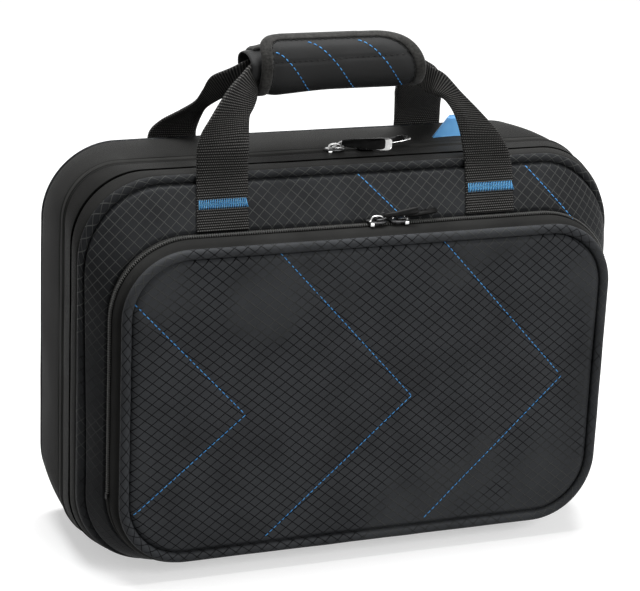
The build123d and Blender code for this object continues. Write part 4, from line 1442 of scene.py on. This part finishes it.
# Centre line of the wire bail that holds the tab.
HOOP = ((5.6, -1.7, 0), (3.6, -2.0, 0), (1.0, -2.0, 0), (-0.4, -1.5, 0), (-0.8, 0, 0.0),
        (-0.4, 1.5, 0), (1.0, 2.0, 0), (3.6, 2.0, 0), (5.6, 1.7, 0))


def pull_tab(length, width, thick, bright, roll_angle, yaw):
    """Lacquered tab. Where it has a bright end, a nickel body shows there as bare metal and as a
    thin rim round the lacquer, which paints a highlight on the tab's edges.
    """
    made = []
    layers = ((NICKEL, 0.0, 0.0, 0.0), (LACQUER, 0.12, 0.14, bright))
    for material, inset, proud, cut in layers if bright else layers[1:]:
        shape = lozenge(length - cut - 2 * inset, width - 2 * inset, thick + 2 * proud,
                        -thick / 2 - proud, n=64, power=5.0)
        shape[..., 0] += (length - cut) / 2
        share = shape[..., 0] / length
        shape[..., 1] *= 0.5 + 0.5 * share
        shape[..., 2] -= 0.35 * np.sin(math.pi * share)
        shape = rolled(shape, roll_angle, -3.0, 1.0, 0.3 * width)
        made.append(turned(plate("tab", shape, material), yaw=yaw, at=(TAB_START, 0, 0)))
    return made


def slider_set(zipper, side):
    """Slider and pull tab, in place of their plain solids."""
    low, high = extent(f"{zipper}_slider_{side}")
    y = (low[1] + high[1]) / 2
    x, length, yaw, pitch, roll_angle = SLIDERS[zipper][side]
    width, thick, bright = SLIDERS[zipper]["tab"]
    top, bottom = high[2] - BRIDGE, low[2]
    outer = -1 if side == "left" else 1
    parts = [plate("upper", lozenge(12.4, 8.2, 1.5, top - 1.3), GUNMETAL),
             plate("lower", lozenge(12.0, 7.8, 1.2, bottom), GUNMETAL),
             plate("post", lozenge(3.2, 1.0, top - bottom - 1.4, bottom + 0.6), GUNMETAL),
             turned(arch("bridge", 7.8, BRIDGE + 0.2, 2.0, 1.1), at=(0, 0, top - 0.1))]
    # The nose, the bridge and the front flange are nickel on a gunmetal body, while the rear flange
    # is gunmetal: lighter copies of the slider's metal that paint its highlights.
    for name, size, power, material, at in (
            ("flange", (2.6, 1.1, 2.6), 5.0, NICKEL, (outer * 4.2, -3.9, top - 2.8)),
            ("rear_flange", (2.6, 1.1, 2.2), 5.0, GUNMETAL, (outer * 4.2, 3.9, top - 2.4)),
            ("nose", (2.2, 4.0, 0.9), 2.2, NICKEL, (outer * 4.9, -0.6, top + 0.05))):
        parts.append(turned(plate(name, lozenge(*size, 0.0, power=power), material), at=at))
    obj = turned(join(f"{zipper}_slider_{side}_metal", parts), at=(x, y, 0))
    dress(obj, f"{zipper}_slider_{side}", "zinc", f"{zipper}_slider_{side}")

    # The main zipper's bails are nickel and the pocket's gunmetal: a lighter copy of the same part
    # that paints the main bails' highlight.
    bail = tube("bail", rolled(smooth(HOOP, 6), roll_angle, 1.0, 5.6, 1.7), 0.55,
                NICKEL if bright else GUNMETAL)
    tab = pull_tab(length, width, thick, bright, roll_angle, yaw)
    obj = turned(join(f"{zipper}_pull_{side}_metal", [bail] + tab), pitch=pitch,
                 at=(x, y, top + 0.85))
    dress(obj, f"{zipper}_puller_{side}", "zinc", f"{zipper}_puller_{side}")


# ---- interior ----
INNER = 7.0      # how far the padding's edge lies inside the walls
LIP = 2.5        # how far an opening's soft lip reaches outside its stated box
RECESSES = ("lower_joint", "upper_joint", "bell", "mouthpiece", "barrel", "accessories")


def dip(xz, name):
    """Soft dip of a stated opening, from 0 outside to 1 on its floor."""
    for box in frame["record"]["physics"]["openings"]:
        if box["name"] == name:
            low, high = (np.array(box["box_m"]) / MM)[:, [0, 2]]
            reach = inside(xz, (low + high) / 2, (high - low) / 2 + LIP, 8.0)
            return ease((reach + 1.6) / 5.5)
    raise KeyError(name)


def insert():
    """Plush over the moulded insert, with its recesses."""
    outline = np.array([WIDTH, 0.0, HEIGHT, 41.0, 0.0])
    xz = panel_grid(outline, INNER, 220, 110, 26)
    face = INSERT_LOW[1] - 1.0
    full = INSERT_HIGH[1] - face
    depth = np.zeros(xz.shape[:-1])
    for name in RECESSES:
        floor = full - (1.6 if name == "bell" else 5.2)
        depth = np.maximum(depth, floor * dip(xz, name + "_recess"))
    rim = edge_distance(xz, outline, INNER)
    y = face + depth + 2.0 * (1 - ease(rim / 3.0)) - 0.3 + 0.3 * rumple(upright(xz), 25.0, 9.0)
    obj = padded_panel("insert_plush_cover", xz, y, INSERT_HIGH[1] - 0.1, PLUSH)
    dress(obj, "back_half", "plush", "insert_plush", "instrument_insert")


def lid_cushion():
    """Plush pad of the lid, relieved over the bell."""
    outline = np.array([WIDTH, 0.0, HEIGHT, 42.0, 0.0])
    xz = panel_grid(outline, INNER, 130, 64, 18)
    rim = edge_distance(xz, outline, INNER)
    y = (LID_PAD_HIGH[1] + 1.0 - 9.6 * dip(xz, "bell_relief") - 2.5 * (1 - ease(rim / 4.0))
         + 0.3 * rumple(upright(xz), 30.0, 4.0) + 0.2)
    obj = padded_panel("lid_pad_cover", xz, y, LID_PAD_LOW[1] + 0.1, PLUSH)
    dress(obj, "lid", "plush", "lid_pad", "lid_plush")


def linings():
    """Plush-covered foam round the walls of each half."""
    for node, name, body_name, step in (("back_core", "back_lining", "back_half", 1.0),
                                        ("front_core", "lid_lining", "lid", -1.0)):
        low, high = extent(node)
        y0, y1 = (low[1], high[1]) if step > 0 else (high[1], low[1])
        section = loop([(y0 + 0.4 * step, -3.9), (y0 + 1.4 * step, -1.8), (y0 + 6 * step, -1.65),
                        (y1 - 4 * step, -1.65), (y1 - 0.3 * step, -1.9), (y1 - 0.3 * step, -6.1),
                        (y1 - 5 * step, -6.4), (y0 + 6 * step, -6.4), (y0 + 1.6 * step, -6.1)])
        obj = band(name, section, places(), PLUSH)
        dress(obj, body_name, "foam", node)


def keep_cad(node, material):
    """Shows a CAD node as it is, with a finished material."""
    obj = frame["nodes"][node]
    for k in range(len(obj.material_slots)):
        obj.material_slots[k].material = material
    if not obj.material_slots:
        obj.data.materials.append(material)


# ---- build ----
back_wall()
back_rim()
back_cover()
zip_strips()
spine()
main_coils()
lid_seam()
front_wall()
front_roll()
shoulder_cloth = shoulder()
pocket_tape()
pocket_coils()
pocket_band()
pocket_roll()
face_cloth = pocket_face()
zip_stops()
bend(front_stitching("pocket_face_stitching", face_cloth, FACE_SEAMS), "lid", "pocket_flap", *FOLD,
     "blue_thread")
dress(front_stitching("shoulder_stitching", shoulder_cloth, SHOULDER_SEAMS), "lid", "blue_thread")
straps()
tacks()
side_tag()
grip()
grip_core()
grip_tapes()
for zipper_name in SLIDERS:
    for side_name in ("left", "right"):
        slider_set(zipper_name, side_name)
insert()
lid_cushion()
linings()
keep_cad("back_board", BOARD)
keep_cad("front_board", BOARD)


# ---- camera, floor and light ----
AZIMUTH, ELEVATION, ROLL_ANGLE = -21.7087, 18.3522, 2.5399
CAMERA_AT = (-510.0, -1258.35, 601.7)
FOCAL_PX = 2281.7
FRAME_PX = 640
TARGET = (0, 0, 0.15)        # where the lights point, in metres
FLOOR_HALF = 8.0             # in metres


def camera():
    az, el, roll_angle = (math.radians(v) for v in (AZIMUTH, ELEVATION, ROLL_ANGLE))
    back = Vector((math.sin(az) * math.cos(el), -math.cos(az) * math.cos(el), math.sin(el)))
    right = Vector((0, 0, 1)).cross(back).normalized()
    up = back.cross(right)
    right, up = (right * math.cos(roll_angle) + up * math.sin(roll_angle),
                 up * math.cos(roll_angle) - right * math.sin(roll_angle))
    data = bpy.data.cameras.new("camera")
    data.sensor_width = 36.0
    data.sensor_fit = "HORIZONTAL"
    data.lens = FOCAL_PX * data.sensor_width / FRAME_PX
    data.clip_end = 50.0
    obj = place_in_scene("camera", data)
    turn = Matrix((right, up, back)).transposed()
    obj.matrix_world = Matrix.Translation(Vector(CAMERA_AT) * MM) @ turn.to_4x4()
    bpy.context.scene.camera = obj


def area_light(name, at, size, energy):
    """Rectangular light that points at the case."""
    data = bpy.data.lights.new(name, "AREA")
    data.shape = "RECTANGLE"
    data.size, data.size_y = size
    data.energy = energy
    obj = place_in_scene(name, data)
    obj.location = at
    obj.rotation_euler = (Vector(TARGET) - Vector(at)).to_track_quat("-Z", "Y").to_euler()


LIT = 0.22                   # how bright the surroundings are for the light they cast


def direct(n):
    """1 for rays from the camera, a mirror or a glass, and 0 for light bounced about."""
    path = n.add("LightPath")
    rays = [path.outputs[f"Is {kind} Ray"] for kind in ("Camera", "Glossy", "Transmission")]
    return n.math("MAXIMUM", n.math("MAXIMUM", *rays[:2]), rays[2])


def studio():
    """White floor and surroundings that light the case less than they look."""
    x = FLOOR_HALF
    mesh = bpy.data.meshes.new("floor")
    mesh.from_pydata([(-x, -x, 0), (x, -x, 0), (x, x, 0), (-x, x, 0)], [], [(0, 1, 2, 3)])
    floor = place_in_scene("floor", mesh)
    n = Nodes("floor")
    seen = direct(n)
    for key, value in (("Base Color", n.mix(seen, (0.20, 0.20, 0.20, 1), (0.62, 0.62, 0.62, 1))),
                       ("Emission Color", n.mix(seen, (0, 0, 0, 1), (1, 1, 1, 1))),
                       ("Emission Strength", 0.5), ("Roughness", 0.9), ("Specular IOR Level", 0.1)):
        n.put(n.shader.inputs[key], value)
    mesh.materials.append(n.owner)
    n = Nodes("studio", bpy.data.worlds.new("studio"), "Background")
    bpy.context.scene.world = n.owner
    n.put(n.shader.inputs["Color"], (1, 1, 1, 1))
    n.put(n.shader.inputs["Strength"], n.range(direct(n), 0, 1, LIT, 1.0))
    area_light("top_light", (0.0, 0.3, 2.2), (1.5, 1.1), 70)
    area_light("front_light", (0.9, -2.0, 1.4), (1.3, 1.0), 32)
    area_light("right_light", (2.0, -0.7, 1.0), (0.8, 1.2), 5)


camera()
studio()
bpy.context.scene.view_settings.view_transform = "Standard"
